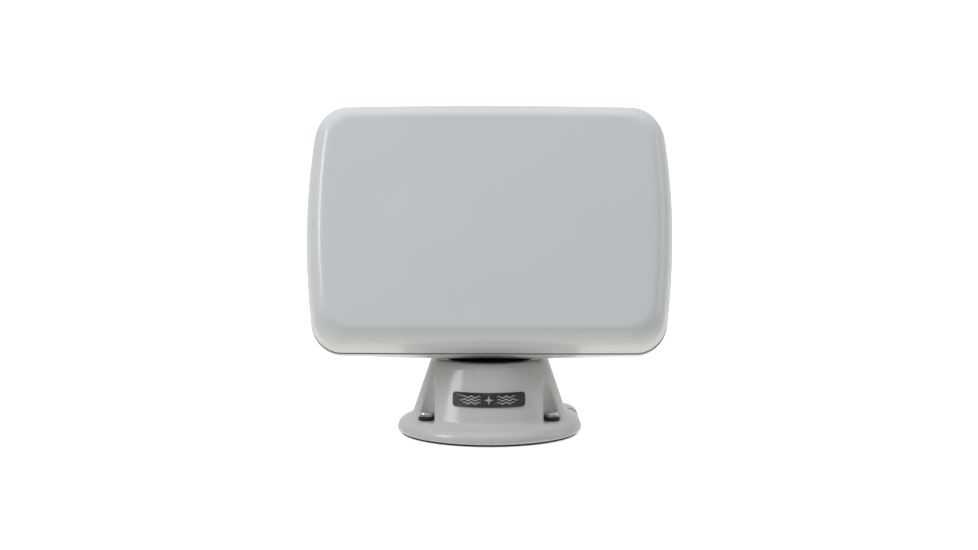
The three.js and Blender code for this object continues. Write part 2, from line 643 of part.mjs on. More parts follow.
function tiltSaddle() {
  const grooveRadius = STEM_RADIUS - O_RING_GROOVE;
  const turntable = turned([
    [0, STEM_BOTTOM], [STEM_RADIUS, STEM_BOTTOM],
    [STEM_RADIUS, O_RING_HEIGHT - O_RING_GROOVE], [grooveRadius, O_RING_HEIGHT - O_RING_GROOVE],
    [grooveRadius, O_RING_HEIGHT + O_RING_GROOVE], [STEM_RADIUS, O_RING_HEIGHT + O_RING_GROOVE],
    [STEM_RADIUS, DISC_BOTTOM], [DISC_RADIUS, DISC_BOTTOM], [DISC_RADIUS, DISC_TOP - DISC_EDGE],
    [DISC_RADIUS - DISC_EDGE, DISC_TOP], [0, DISC_TOP],
  ], PEDESTAL_SEGMENTS);
  const cradle = block(
    [-CRADLE_HALF_WIDTH, CRADLE_FRONT, DISC_BOTTOM + STOP_GROOVE_DEPTH],
    [CRADLE_HALF_WIDTH, CRADLE_BACK, CRADLE_TOP],
  ).intersect(disc(DISC_RADIUS, DISC_BOTTOM, REACH, PEDESTAL_SEGMENTS));
  const trough = atTiltAxis(
    disc(BARREL_RADIUS + GAP, -REACH, REACH, 2 * BARREL_SEGMENTS).rotate([0, 90, 0]), 0);
  const cablePassage = disc(STEM_BORE, 0, REACH, MIDDLE_ROUND);
  const boltHole = disc(CLAMP_BOLT_RADIUS + GAP, -CLAMP_BOLT_REACH - GAP, 0, SMALL_ROUND);
  const boltHoles = [-CLAMP_BOLT_X, CLAMP_BOLT_X].map((x) =>
    atTiltAxis(boltHole.translate([x, 0, 0]), CLAMP_ANGLE));
  const body = turntable.add(cradle.subtract(trough));
  return meshOf('tilt_saddle', cut(body, [cablePassage, stopGroove(), ...boltHoles]),
    materials.blackPlastic);
}

function swivelStack() {
  const hole = STEM_RADIUS + GAP;
  const grooveMiddle = (STEM_RADIUS - O_RING_GROOVE + BORE_RADIUS) / 2;
  const seal = torus(grooveMiddle, O_RING_THICKNESS, O_RING_HEIGHT, MIDDLE_ROUND);
  const frictionWasher = ring(hole, HUB_RADIUS, FRICTION_BOTTOM, HUB_BOTTOM - GAP, MIDDLE_ROUND);
  const spring = ring(hole, HUB_RADIUS - 1, NUT_TOP + GAP, SPRING_TOP, MIDDLE_ROUND);
  const lockAlongX = (radius, inner, outer) =>
    disc(radius, inner, outer, SMALL_ROUND)
      .rotate([0, 90, 0])
      .translate([0, 0, (NUT_BOTTOM + NUT_TOP) / 2]);
  const nut = disc(HUB_RADIUS, NUT_BOTTOM, NUT_TOP, 6)
    .subtract(disc(hole, STEM_BOTTOM, HUB_BOTTOM, MIDDLE_ROUND))
    .subtract(lockAlongX(LOCK_SCREW_RADIUS + GAP, STEM_RADIUS, REACH));
  const lock = lockAlongX(LOCK_SCREW_RADIUS, STEM_RADIUS + 2 * GAP, LOCK_SCREW_END);
  return [
    meshOf('stem_o_ring', seal, materials.rubber),
    meshOf('friction_washer', frictionWasher, materials.acetal),
    meshOf('spring_washer', spring, materials.stainless),
    meshOf('swivel_nut', nut, materials.stainless),
    meshOf('nut_lock_screw', lock, materials.stainless),
  ];
}

function clampPieces() {
  const plateWidth = 2 * CRADLE_HALF_WIDTH;
  const opening = disc(STEM_BORE - 1, -REACH, 0, MIDDLE_ROUND);
  const boltHole = (x) =>
    disc(CLAMP_BOLT_RADIUS + GAP, -REACH, 0, SMALL_ROUND).translate([x, 0, 0]);
  const plate = cut(
    arcPlate(CLAMP_INNER, CLAMP_OUTER, -CLAMP_HALF_ARC, CLAMP_HALF_ARC, plateWidth, CLAMP_STEPS),
    [opening, boltHole(-CLAMP_BOLT_X), boltHole(CLAMP_BOLT_X)],
  );
  const washerBottom = 2 * GAP - CLAMP_INNER;
  const washerTop = washerBottom + LOCK_WASHER_THICK;
  const headBottom = washerTop + GAP;
  const headTop = headBottom + CLAMP_HEAD_HEIGHT;
  const bolt = turned([
    [0, -CLAMP_BOLT_REACH], [CLAMP_BOLT_RADIUS, -CLAMP_BOLT_REACH], [CLAMP_BOLT_RADIUS, headBottom],
    [CLAMP_HEAD_RADIUS, headBottom], [CLAMP_HEAD_RADIUS, headTop - CLAMP_HEAD_EDGE],
    [CLAMP_HEAD_RADIUS - CLAMP_HEAD_EDGE, headTop], [CLAMP_HEX_RADIUS, headTop],
    [CLAMP_HEX_RADIUS, headTop - CLAMP_HEX_DEPTH], [0, headTop - CLAMP_HEX_DEPTH],
  ], SMALL_ROUND);
  const washer = ring(
    CLAMP_BOLT_RADIUS + GAP, LOCK_WASHER_RADIUS, washerBottom, washerTop, SMALL_ROUND);
  const placed = (solid, x) => atTiltAxis(solid.translate([x, 0, 0]), CLAMP_ANGLE);
  const fixings = [['left', -CLAMP_BOLT_X], ['right', CLAMP_BOLT_X]].flatMap(([side, x]) => [
    meshOf(`clamp_bolt_${side}`, placed(bolt, x), materials.stainless),
    meshOf(`lock_washer_${side}`, placed(washer, x), materials.stainless),
  ]);
  return [meshOf('clamp_plate', placed(plate, 0), materials.stainless), ...fixings];
}

// ---------------------------------------------------------------- assembly

function groupOf(meshes) {
  const group = new THREE.Group();
  group.add(...meshes);
  return group;
}

function pedestalGroup() {
  return groupOf([
    baseGasket(), pedestalShell(), ...deckScrews(), badgePlate(), thrustWasher(), stopPin(),
  ]);
}

function turntableGroup() {
  return groupOf([tiltSaddle(), ...swivelStack(), ...clampPieces()]);
}

function podGroup() {
  const pod = groupOf([rearShell(), frontShell(), perimeterGasket(), ...coverScrews()]);
  pod.position.set(0, -SEAM_AHEAD, POD_CENTRE_ABOVE);
  const tilting = groupOf([pod]);
  tilting.position.set(0, TILT_AXIS_Y, TILT_AXIS_Z);
  tilting.rotation.x = -REST_TILT;
  return tilting;
}

const displayPod = groupOf([pedestalGroup(), turntableGroup(), podGroup()]);

export default displayPod;
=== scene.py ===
"""Finished looks for a marine display pod on its swivelling and tilting deck pedestal.

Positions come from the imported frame. Sizes are in millimetres unless a name says metres, +Z is up and
the display face looks towards -Y.
"""
import json
import math

import bmesh
import bpy
import numpy as np
from mathutils import Matrix, Vector


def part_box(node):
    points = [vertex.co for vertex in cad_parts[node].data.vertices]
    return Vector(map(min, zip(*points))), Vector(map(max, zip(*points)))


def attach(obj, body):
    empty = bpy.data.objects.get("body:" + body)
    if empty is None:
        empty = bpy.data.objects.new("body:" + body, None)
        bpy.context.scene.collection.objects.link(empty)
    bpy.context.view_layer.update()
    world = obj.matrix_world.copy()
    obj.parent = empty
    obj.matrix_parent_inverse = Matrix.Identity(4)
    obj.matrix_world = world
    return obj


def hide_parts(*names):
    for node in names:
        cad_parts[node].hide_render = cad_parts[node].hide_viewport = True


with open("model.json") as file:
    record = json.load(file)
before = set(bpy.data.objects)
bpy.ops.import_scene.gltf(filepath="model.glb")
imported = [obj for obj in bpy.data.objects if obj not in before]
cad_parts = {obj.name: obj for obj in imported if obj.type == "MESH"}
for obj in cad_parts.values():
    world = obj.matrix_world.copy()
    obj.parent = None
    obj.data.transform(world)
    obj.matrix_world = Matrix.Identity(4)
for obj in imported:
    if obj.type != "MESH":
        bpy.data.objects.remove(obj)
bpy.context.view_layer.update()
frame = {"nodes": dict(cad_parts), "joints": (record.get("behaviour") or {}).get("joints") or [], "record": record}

MM = 0.001
RECORD = frame["record"]
BODY_OF = {node: body for body, nodes in RECORD["behaviour"]["bodies"].items() for node in nodes}
SCREW_PLACES = ["front_left", "front_right", "rear_left", "rear_right"]
COVER_PLACES = ["top_left", "top_right", "middle_left", "middle_right", "bottom_left", "bottom_right"]


def row_named(rows, name):
    return next(row for row in rows if row["name"] == name)


def box_mm(node):
    low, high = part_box(node)
    return np.array(low) / MM, np.array(high) / MM


def middle_mm(node):
    low, high = box_mm(node)
    return (low + high) / 2


# ---------------------------------------------------------------- the pod's own frame

# In the pod's frame X is across, Y is depth (positive to the rear), Z is up, and the origin is the
# centre of the seam between its two shells.
FACE_DEPTH = 42
BACK_DEPTH = 73
FACE = row_named(RECORD["mounts"], "display_face")
FACE_AXIS = Vector(FACE["axis"])
REST_TILT = math.atan2(FACE_AXIS.z, -FACE_AXIS.y)
POD_CENTRE = Vector(FACE["pos_m"]) / MM - FACE_DEPTH * FACE_AXIS
TO_WORLD = Matrix.Translation(POD_CENTRE) @ Matrix.Rotation(-REST_TILT, 4, "X")
TILT = row_named(frame["joints"], "tilt")
TILT_AXIS = Vector(TILT["pos_m"]) / MM
TILT_BACK, TILT_FORWARD = (math.radians(abs(limit)) for limit in TILT["range_deg"])
_, BARREL_Y, BARREL_Z = TO_WORLD.inverted() @ TILT_AXIS


# ---------------------------------------------------------------- outlines

def rounded(corners, steps=6):
    """Points along an open outline of (a, b, fillet) corners, with an arc for each fillet."""
    flat = np.array(corners, float)
    points = []
    for index, (a, b, fillet) in enumerate(flat):
        here = np.array((a, b))
        if not fillet:
            points.append(here)
            continue
        arriving = here - flat[index - 1, :2]
        leaving = flat[(index + 1) % len(flat), :2] - here
        arriving /= np.linalg.norm(arriving)
        leaving /= np.linalg.norm(leaving)
        turn = math.atan2(arriving[0] * leaving[1] - arriving[1] * leaving[0], arriving @ leaving)
        start = here - arriving * fillet * math.tan(abs(turn) / 2)
        side = math.copysign(1, turn)
        centre = start + side * fillet * np.array((-arriving[1], arriving[0]))
        for step in range(steps + 1):
            angle = turn * step / steps
            across, along = start - centre
            points.append(centre + (across * math.cos(angle) - along * math.sin(angle),
                                    across * math.sin(angle) + along * math.cos(angle)))
    return np.array(points)


def quarter(depth, width, power, steps):
    """A superellipse quarter as (depth, width) points, leaving along the depth."""
    angles = np.linspace(0, math.pi / 2, steps + 1)
    return np.stack([depth * np.sin(angles) ** (2 / power), width * (1 - np.cos(angles) ** (2 / power))], 1)


# ---------------------------------------------------------------- meshes

SHARP_DEGREES = 38
CRISP_DEGREES = 30


def tidy_mesh(name, points_mm, faces):
    mesh = bpy.data.meshes.new(name)
    mesh.from_pydata((np.asarray(points_mm) * MM).tolist(), [], faces)
    form = bmesh.new()
    form.from_mesh(mesh)
    bmesh.ops.remove_doubles(form, verts=form.verts, dist=1e-7)
    bmesh.ops.recalc_face_normals(form, faces=form.faces)
    form.to_mesh(mesh)
    form.free()
    mesh.shade_smooth()
    mesh.set_sharp_from_angle(angle=math.radians(SHARP_DEGREES))
    return mesh


def ring_faces(rings, around, closed):
    faces = []
    for ring in range(rings if closed else rings - 1):
        following = (ring + 1) % rings
        for step in range(around):
            ahead = (step + 1) % around
            faces.append((ring * around + step, ring * around + ahead,
                          following * around + ahead, following * around + step))
    return faces


def lofted(name, rings, closed=False):
    """A closed form through rings of points. Without closed, the end rings are capped."""
    rings = np.asarray(rings, float)
    count, around = rings.shape[:2]
    faces = ring_faces(count, around, closed)
    if not closed:
        faces.append(tuple(reversed(range(around))))
        faces.append(tuple(range((count - 1) * around, count * around)))
    return tidy_mesh(name, rings.reshape(-1, 3), faces)


def turned(name, outline, around=96, closed=False):
    """A form turned about Z from (radius, height) points."""
    angles = np.linspace(0, 2 * math.pi, around, endpoint=False)
    least = 1e-3
    rings = [[(max(radius, least) * math.cos(angle), max(radius, least) * math.sin(angle), height)
              for angle in angles] for radius, height in outline]
    return lofted(name, rings, closed)


def scratch_object(mesh):
    obj = bpy.data.objects.new(mesh.name, mesh)
    bpy.context.scene.collection.objects.link(obj)
    return obj


def mesh_after(obj, name):
    """The mesh of a scratch object with its modifiers applied. The object is removed."""
    graph = bpy.context.evaluated_depsgraph_get()
    graph.update()
    mesh = bpy.data.meshes.new_from_object(obj.evaluated_get(graph))
    mesh.name = name
    bpy.data.objects.remove(obj)
    return mesh


def combined(mesh, others, operation, sharp_degrees=SHARP_DEGREES):
    """A mesh joined with, cut by or trimmed to the others."""
    body = scratch_object(mesh)
    tools = [scratch_object(other) for other in others]
    for tool in tools:
        modifier = body.modifiers.new(tool.name, "BOOLEAN")
        modifier.operation = operation
        modifier.solver = "MANIFOLD"
        modifier.object = tool
    result = mesh_after(body, mesh.name)
    for tool in tools:
        bpy.data.objects.remove(tool)
    result.shade_smooth()
    result.set_sharp_from_angle(angle=math.radians(sharp_degrees))
    return result


def placed(mesh, matrix_mm):
    """A mesh moved by a matrix whose shift is in millimetres."""
    mesh.transform(Matrix.Translation(matrix_mm.translation * MM) @ matrix_mm.to_3x3().to_4x4())
    return mesh


def add_piece(name, mesh, node, material):
    """A finished mesh that stands for one CAD node and moves with its body."""
    obj = scratch_object(mesh)
    obj.name = name
    mesh.materials.clear()
    mesh.materials.append(material)
    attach(obj, BODY_OF[node])
    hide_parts(node)
    return obj


# ---------------------------------------------------------------- smooth distance fields

# A field gives the distance of each point from a surface, negative inside. Lengths are millimetres.
def meet(first, second, fillet=0.0):
    """What lies in both fields, with the edge between them rounded off."""
    if not fillet:
        return np.maximum(first, second)
    corner = np.hypot(np.maximum(first + fillet, 0), np.maximum(second + fillet, 0))
    return np.minimum(-fillet, np.maximum(first, second)) + corner


def join(first, second, fillet=0.0):
    return -meet(-first, -second, fillet)


def cut(body, cutter, fillet=0.0):
    return meet(body, -cutter, fillet)


def slopes(field, points, step=0.3):
    """The field's gradient at each point."""
    columns = []
    for axis in range(3):
        shift = np.zeros(3)
        shift[axis] = step
        columns.append((field(points + shift) - field(points - shift)) / (2 * step))
    return np.stack(columns, 1)


def settled(name, node, field, voxel, reach=1.6, rounds=5):
    """A dense copy of a CAD node with its points drawn onto the zero surface of a smooth field."""
    rough = scratch_object(frame["nodes"][node].data.copy())
    form = bmesh.new()
    form.from_mesh(rough.data)
    bmesh.ops.remove_doubles(form, verts=form.verts, dist=1e-6)
    form.to_mesh(rough.data)
    form.free()
    remesh = rough.modifiers.new("remesh", "REMESH")
    remesh.mode = "VOXEL"
    remesh.voxel_size = voxel * MM
    mesh = mesh_after(rough, name)
    flat = np.empty(len(mesh.vertices) * 3)
    mesh.vertices.foreach_get("co", flat)
    points = flat.reshape(-1, 3) / MM
    for _ in range(rounds):
        distance = field(points)
        slope = slopes(field, points)
        near = np.abs(distance) < reach
        steepness = np.maximum((slope ** 2).sum(1), 0.2)
        points -= slope * (distance * near / steepness)[:, None]
    mesh.vertices.foreach_set("co", (points * MM).ravel())
    mesh.update()
    mesh.shade_smooth()
    normals = slopes(field, points)
    normals /= np.maximum(np.linalg.norm(normals, axis=1), 1e-6)[:, None]
    mesh.normals_split_custom_set_from_vertices(normals.tolist())
    return mesh


# ---------------------------------------------------------------- materials

def node_of(tree, kind, **values):
    node = tree.nodes.new(kind)
    for key, value in values.items():
        if key in node.inputs:
            node.inputs[key].default_value = value
        else:
            setattr(node, key.lower(), value)
    return node


def noise(tree, place_at, scale, detail=3.0, stretch=(1, 1, 1)):
    """A noise pattern. Scale is in features for each metre."""
    mapping = node_of(tree, "ShaderNodeMapping", Scale=stretch)
    pattern = node_of(tree, "ShaderNodeTexNoise", Scale=scale, Detail=detail, Roughness=0.55)
    tree.links.new(place_at, mapping.inputs["Vector"])
    tree.links.new(mapping.outputs["Vector"], pattern.inputs["Vector"])
    return pattern.outputs["Fac"]


def ranged(tree, source, low_in, high_in, low, high):
    node = node_of(tree, "ShaderNodeMapRange")
    for socket, value in zip(("From Min", "From Max", "To Min", "To Max"), (low_in, high_in, low, high)):
        node.inputs[socket].default_value = value
    tree.links.new(source, node.inputs["Value"])
    return node.outputs["Result"]


def mixed(tree, factor, first, second):
    node = node_of(tree, "ShaderNodeMix", data_type="RGBA")
    colours = [socket for socket in node.inputs if socket.type == "RGBA"]
    for socket, value in zip(colours, (first, second)):
        if isinstance(value, tuple):
            socket.default_value = (*value, 1)
        else:
            tree.links.new(value, socket)
    tree.links.new(factor, node.inputs[0])
    return next(socket for socket in node.outputs if socket.type == "RGBA")


def finish_of(name, slot, colour, tint, roughness, grain, *, metallic=0.0, coat=0.0, depth=0.01,
              patch=18, stretch=(1, 1, 1), wear=None, wear_share=0.0):
    """A moulded, turned or cast surface: two close tones in patches, uneven gloss, and a fine grain.

    Grain and patch are in features for each metre, and depth is the grain's height in millimetres.
    Wear is the colour of faint scuffs, on about wear_share of the surface.
    """
    material = bpy.data.materials.new(name)
    material.use_nodes = True
    material["slot"] = slot
    tree = material.node_tree
    shader = tree.nodes["Principled BSDF"]
    shader.inputs["Metallic"].default_value = metallic
    shader.inputs["Coat Weight"].default_value = coat
    shader.inputs["Coat Roughness"].default_value = 0.08
    place_at = node_of(tree, "ShaderNodeTexCoord").outputs["Object"]
    patches = ranged(tree, noise(tree, place_at, patch), 0.35, 0.65, 0, 1)
    tone = mixed(tree, patches, colour, tint)
    gloss = ranged(tree, noise(tree, place_at, patch * 6, 5), 0.3, 0.7, *roughness)
    if wear:
        scuffs = ranged(tree, noise(tree, place_at, patch * 9, 8, (1, 1, 3)),
                        0.76 - wear_share, 0.84 - wear_share, 0, 0.35)
        tone = mixed(tree, scuffs, tone, wear)
        rougher = node_of(tree, "ShaderNodeMath", operation="ADD")
        tree.links.new(gloss, rougher.inputs[0])
        tree.links.new(scuffs, rougher.inputs[1])
        gloss = rougher.outputs[0]
    bump = node_of(tree, "ShaderNodeBump", Strength=1.0, Distance=depth * MM)
    tree.links.new(noise(tree, place_at, grain, 2, stretch), bump.inputs["Height"])
    tree.links.new(tone, shader.inputs["Base Color"])
    tree.links.new(gloss, shader.inputs["Roughness"])
    tree.links.new(bump.outputs["Normal"], shader.inputs["Normal"])
    return material


def make_materials():
    return {
        "pod_white": finish_of(
            "pod_white", "white_gloss", (0.73, 0.755, 0.765), (0.75, 0.77, 0.775), (0.13, 0.19), 700,
            depth=0.004, patch=9, wear=(0.70, 0.715, 0.72), wear_share=0.0),
        # The pedestal's white is darker than the pod's. Its warm tone is its own, and the rest is painted shade
        # from the pod above it.
        "pedestal_white_and_painted_shade": finish_of(
            "pedestal_white_and_painted_shade", "white_gloss", (0.64, 0.64, 0.615), (0.67, 0.665, 0.64), (0.15, 0.21), 600,
            depth=0.006, patch=14, wear=(0.61, 0.605, 0.58), wear_share=0.01),
        "nylon_black": finish_of(
            "nylon_black", "black_plastic", (0.012, 0.012, 0.013), (0.018, 0.018, 0.019), (0.36, 0.5), 2200,
            depth=0.02, patch=30, wear=(0.06, 0.06, 0.06), wear_share=0.06),
        "rubber": finish_of(
            "rubber", "rubber", (0.014, 0.014, 0.014), (0.022, 0.021, 0.02), (0.62, 0.8), 2600,
            depth=0.03, patch=45, wear=(0.07, 0.068, 0.064), wear_share=0.08),
        "stainless": finish_of(
            "stainless", "stainless", (0.60, 0.60, 0.59), (0.66, 0.655, 0.64), (0.16, 0.3), 1500,
            metallic=1.0, depth=0.004, patch=120, stretch=(1, 1, 8), wear=(0.42, 0.40, 0.37),
            wear_share=0.05),
        "brass": finish_of(
            "brass", "brass", (0.66, 0.48, 0.2), (0.72, 0.55, 0.26), (0.25, 0.38), 1800, metallic=1.0,
            depth=0.008, patch=150, stretch=(6, 1, 1), wear=(0.4, 0.28, 0.12), wear_share=0.08),
        "badge": finish_of(
            "badge", "badge", (0.024, 0.024, 0.026), (0.03, 0.03, 0.032), (0.26, 0.36), 1600,
            depth=0.006, patch=60, wear=(0.08, 0.08, 0.08), wear_share=0.04),
        "badge_print": finish_of(
            "badge_print", "badge", (0.42, 0.43, 0.44), (0.48, 0.49, 0.5), (0.3, 0.42), 1800,
            depth=0.006, patch=90, wear=(0.3, 0.3, 0.3), wear_share=0.08),
        "acetal": finish_of(
            "acetal", "acetal", (0.78, 0.77, 0.72), (0.82, 0.81, 0.77), (0.4, 0.52), 1500, depth=0.01,
            patch=60, wear=(0.6, 0.58, 0.52), wear_share=0.05),
    }


# ---------------------------------------------------------------- pod shells

POD_HALF_WIDTH = 170.2
POD_HALF_HEIGHT = 116.4
TOP_CORNER = 27
BOTTOM_CORNER = 25.5
CORNER_TIGHTENING = 0.3
TOP_SIDE_BOW = 0.062
BOTTOM_SIDE_BOW = 0.054
TOP_BOW = 0.02
BOTTOM_BOW = 0.004
WALL = 3.5
LIP_INSET = 7.5
SEAM_HALF = 2.1
SEAM_EDGE = 0.7
GASKET_HALF = 1.5
GASKET_INSET = 0.6
GASKET_SEAT_GAP = 0.6
BARREL_RADIUS = 60
BARREL_FLAT_HALF = 40
BARREL_HALF = 130
BARREL_DROP = 6
TUNNEL_RADIUS = 5.6
TUNNEL_SEAT = 26
TUNNEL_WALL = 2
SCREW_HOLE_RADIUS = 2.4
INSERT_HOLE_RADIUS = 3.9
INSERT_HOLE_END = -13
INSERT_POST_WALL = 3
INSERT_POST_GAP = 6
SEAM_CLEARANCE = 0.05
BARREL_SOFTNESS = 2.5
BARREL_ENTRY = 9
CORNER_STEPS = 14
LONG_STEPS = 30
SHORT_STEPS = 20


def pod_outline(inset):
    """The pod's rounded outline, drawn in by inset, as (across, up) points."""
    top = TOP_CORNER - CORNER_TIGHTENING * inset
    bottom = BOTTOM_CORNER - CORNER_TIGHTENING * inset / 2
    corners = []
    for side, end, radius in [(1, 1, top), (1, -1, bottom), (-1, -1, bottom), (-1, 1, top)]:
        radius = min(radius, POD_HALF_HEIGHT - inset)
        corners.append((side * (POD_HALF_WIDTH - inset - radius), end * (POD_HALF_HEIGHT - inset - radius),
                        radius))

    def on_corner(corner, step):
        x, z, radius = corners[corner % 4]
        angle = (corner + step / CORNER_STEPS) * math.pi / 2
        return x + radius * math.sin(angle), z + radius * math.cos(angle)

    points = []
    for corner in range(4):
        points += [on_corner(corner, step) for step in range(CORNER_STEPS + 1)]
        start = np.array(on_corner(corner, CORNER_STEPS))
        end = np.array(on_corner(corner + 1, 0))
        steps = SHORT_STEPS if corner % 2 == 0 else LONG_STEPS
        points += [tuple(start + (end - start) * step / steps) for step in range(1, steps)]
    x, z = np.array(points).T
    side_bow = np.where(z > 0, TOP_SIDE_BOW, BOTTOM_SIDE_BOW)
    end_bow = np.where(z > 0, TOP_BOW, BOTTOM_BOW)
    return np.stack([x * (1 - side_bow * (z / POD_HALF_HEIGHT) ** 2),
                     z * (1 - end_bow * (x / POD_HALF_WIDTH) ** 2)], 1)


def pod_ring(depth, inset, shrink=1.0):
    outline = pod_outline(inset) * shrink
    return np.stack([outline[:, 0], np.full(len(outline), depth), outline[:, 1]], 1)


def face_rings(depth, inset):
    """Rings that fill a flat end, from its middle out to its rim."""
    return [pod_ring(depth, inset, share) for share in (0.02, 0.3, 0.6, 0.85, 0.97)]


FRONT_DRAFT = 0.14
FRONT_STEP = 0.7
FRONT_ROLL_START = 21
FRONT_ROLL_WIDTH = 13.3
FRONT_POWER = 2.05
FRONT_STEPS = 18
FRONT_LIP_DEPTH = -9
FRONT_LIP_FLARE = 0.6
FRONT_WALL_START = -14
FACE_RISE = 1.8


def front_section(wall):
    """(depth, inset) from the rim of the face to the seam, offset inwards by wall."""
    roll_depth = FACE_DEPTH - FRONT_ROLL_START - wall
    roll = quarter(roll_depth, FRONT_ROLL_WIDTH, FRONT_POWER, FRONT_STEPS)[::-1]
    depths = -FRONT_ROLL_START - roll[:, 0]
    insets = roll[:, 1] + FRONT_DRAFT * -depths + wall
    return np.stack([depths, insets], 1)


def front_shell_mesh():
    outside = front_section(0)
    edge = rounded([(-FRONT_ROLL_START, outside[-1][1], 0), (-2 * SEAM_HALF, FRONT_STEP, 2.0),
                    (-SEAM_HALF, FRONT_STEP, SEAM_EDGE), (-SEAM_HALF, LIP_INSET, 0)])[1:]
    inside = front_section(WALL)[::-1]
    inside = inside[inside[:, 0] < FRONT_WALL_START]
    lip = (FRONT_LIP_DEPTH, LIP_INSET + FRONT_LIP_FLARE)
    rings = face_rings(-FACE_DEPTH, outside[0][1])
    rings += [pod_ring(depth, inset) for depth, inset in [*outside, *edge, lip, *inside]]
    rings += face_rings(WALL - FACE_DEPTH, inside[-1][1])[::-1]
    rings = np.array(rings)
    share = np.clip(-rings[..., 1] / FACE_DEPTH, 0, 1)
    rings[..., 2] += FACE_RISE * share ** 2
    shell = lofted("front_shell", rings)
    posts = [pod_post(place, INSERT_HOLE_RADIUS + INSERT_POST_WALL, INSERT_POST_GAP - FACE_DEPTH,
                      -SEAM_HALF - SEAM_CLEARANCE) for place in COVER_PLACES]
    sockets = [pod_post(place, INSERT_HOLE_RADIUS, INSERT_HOLE_END, 1) for place in COVER_PLACES]
    return combined(combined(shell, posts, "UNION"), sockets, "DIFFERENCE")


def cover_place(place):
    """Where a cover screw stands in the pod's frame, as (across, up)."""
    at = TO_WORLD.inverted() @ Vector(middle_mm(f"cover_screw_{place}"))
    return at.x, at.z


def pod_post(place, radius, front, back, around=48):
    """A post along the pod's depth at a cover screw."""
    across, up = cover_place(place)
    mesh = turned("post", [(0, front), (radius, front), (radius, back), (0, back)], around)
    mesh.transform(Matrix.Translation(Vector((across, 0, up)) * MM) @ Matrix.Rotation(-math.pi / 2, 4, "X"))
    return mesh


def barrel_radius(across, radius):
    """The radius of the barrel about the tilt axis, which falls away towards its ends."""
    share = np.clip((np.abs(across) - BARREL_FLAT_HALF) / (BARREL_HALF - BARREL_FLAT_HALF), 0, 1)
    return radius - BARREL_DROP * (1 - np.sqrt(1 - share ** 2))


def push_to_barrel(points, radius):
    """Draws the underside out to the barrel about the tilt axis, blending into the shell around it."""
    y = points[..., 1] - BARREL_Y
    z = points[..., 2] - BARREL_Z
    reach = np.hypot(y, z)
    target = barrel_radius(points[..., 0], radius)
    inside = np.abs(points[..., 0]) < BARREL_HALF
    gap = target - reach
    blend = np.clip(0.5 + 0.5 * gap / BARREL_SOFTNESS, 0, 1)
    pushed = reach + gap * blend + BARREL_SOFTNESS * blend * (1 - blend) / 2
    entering = np.clip((points[..., 1] - SEAM_HALF) / BARREL_ENTRY, 0, 1)
    entering = entering * entering * (3 - 2 * entering)
    active = inside & (z < 0)
    factor = 1 + np.where(active, (pushed / np.maximum(reach, 1) - 1) * entering, 0)
    moved = points.copy()
    moved[..., 1] = BARREL_Y + y * factor
    moved[..., 2] = BARREL_Z + z * factor
    return moved


REAR_ROLL_START = 5
REAR_ROLL_WIDTH = 70
REAR_POWER = 2.35
REAR_STEPS = 40
REAR_LIP_DEPTH = 14
REAR_LIP_FLARE = 0.4
REAR_WALL_START = 22


def rear_section(wall):
    """(depth, inset) from the seam side to the rim of the flat back, offset inwards by wall."""
    roll = quarter(BACK_DEPTH - REAR_ROLL_START - wall, REAR_ROLL_WIDTH - wall, REAR_POWER,
                   REAR_STEPS)
    return roll + (REAR_ROLL_START, wall)


def rear_shell_mesh():
    edge = rounded([(SEAM_HALF, LIP_INSET, 0), (SEAM_HALF, 0, SEAM_EDGE), (REAR_ROLL_START, 0, 0)])
    outside = rear_section(0)[1:]
    inside = rear_section(WALL)[::-1]
    inside = inside[inside[:, 0] > REAR_WALL_START]
    lip = (REAR_LIP_DEPTH, LIP_INSET + REAR_LIP_FLARE)
    outer_rings = [pod_ring(depth, inset) for depth, inset in [*edge, *outside]]
    outer_rings += face_rings(BACK_DEPTH, REAR_ROLL_WIDTH)[::-1]
    inner_rings = face_rings(BACK_DEPTH - WALL, REAR_ROLL_WIDTH)
    inner_rings += [pod_ring(depth, inset) for depth, inset in [*inside, lip]]
    outer = push_to_barrel(np.array(outer_rings), BARREL_RADIUS)
    inner = push_to_barrel(np.array(inner_rings), BARREL_RADIUS - WALL)
    shell = lofted("rear_shell", np.concatenate([outer[::-1], inner[::-1]]))
    form = lofted("rear_form", outer)
    posts = [pod_post(place, TUNNEL_RADIUS + TUNNEL_WALL, SEAM_HALF + SEAM_CLEARANCE, BACK_DEPTH)
             for place in COVER_PLACES]
    posts = [combined(post, [form.copy()], "INTERSECT") for post in posts]
    tunnels = [pod_post(place, TUNNEL_RADIUS, TUNNEL_SEAT, BACK_DEPTH * 2) for place in COVER_PLACES]
    holes = [pod_post(place, SCREW_HOLE_RADIUS, -1, BACK_DEPTH, 24) for place in COVER_PLACES]
    shell = combined(shell, posts, "UNION")
    return combined(shell, [*tunnels, *holes, *underside_slots()], "DIFFERENCE", CRISP_DEGREES)


CLAMP_BOLT_RADIUS = 2.5
CABLE_RADIUS = 12
SLOT_MARGIN = 0.6
SLOT_NEAR_SHARE = 0.86
SLOT_FAR_SHARE = 1.1
SLOT_STEPS = 28


def arc_cutter(across, half_width, half_length):
    """A slot along the barrel's arc, long enough for the whole tilt range."""
    lean = math.asin(-TILT_AXIS.y / BARREL_RADIUS) + REST_TILT
    slack = half_length / BARREL_RADIUS
    angles = np.linspace(lean - TILT_FORWARD - slack, lean + TILT_BACK + slack, SLOT_STEPS)
    rings = []
    for angle in angles:
        ring = []
        for x, share in [(-1, SLOT_NEAR_SHARE), (1, SLOT_NEAR_SHARE), (1, SLOT_FAR_SHARE),
                         (-1, SLOT_FAR_SHARE)]:
            reach = share * BARREL_RADIUS
            ring.append((across + x * half_width, BARREL_Y + reach * math.sin(angle),
                         BARREL_Z - reach * math.cos(angle)))
        rings.append(ring)
    return lofted("slot", rings)


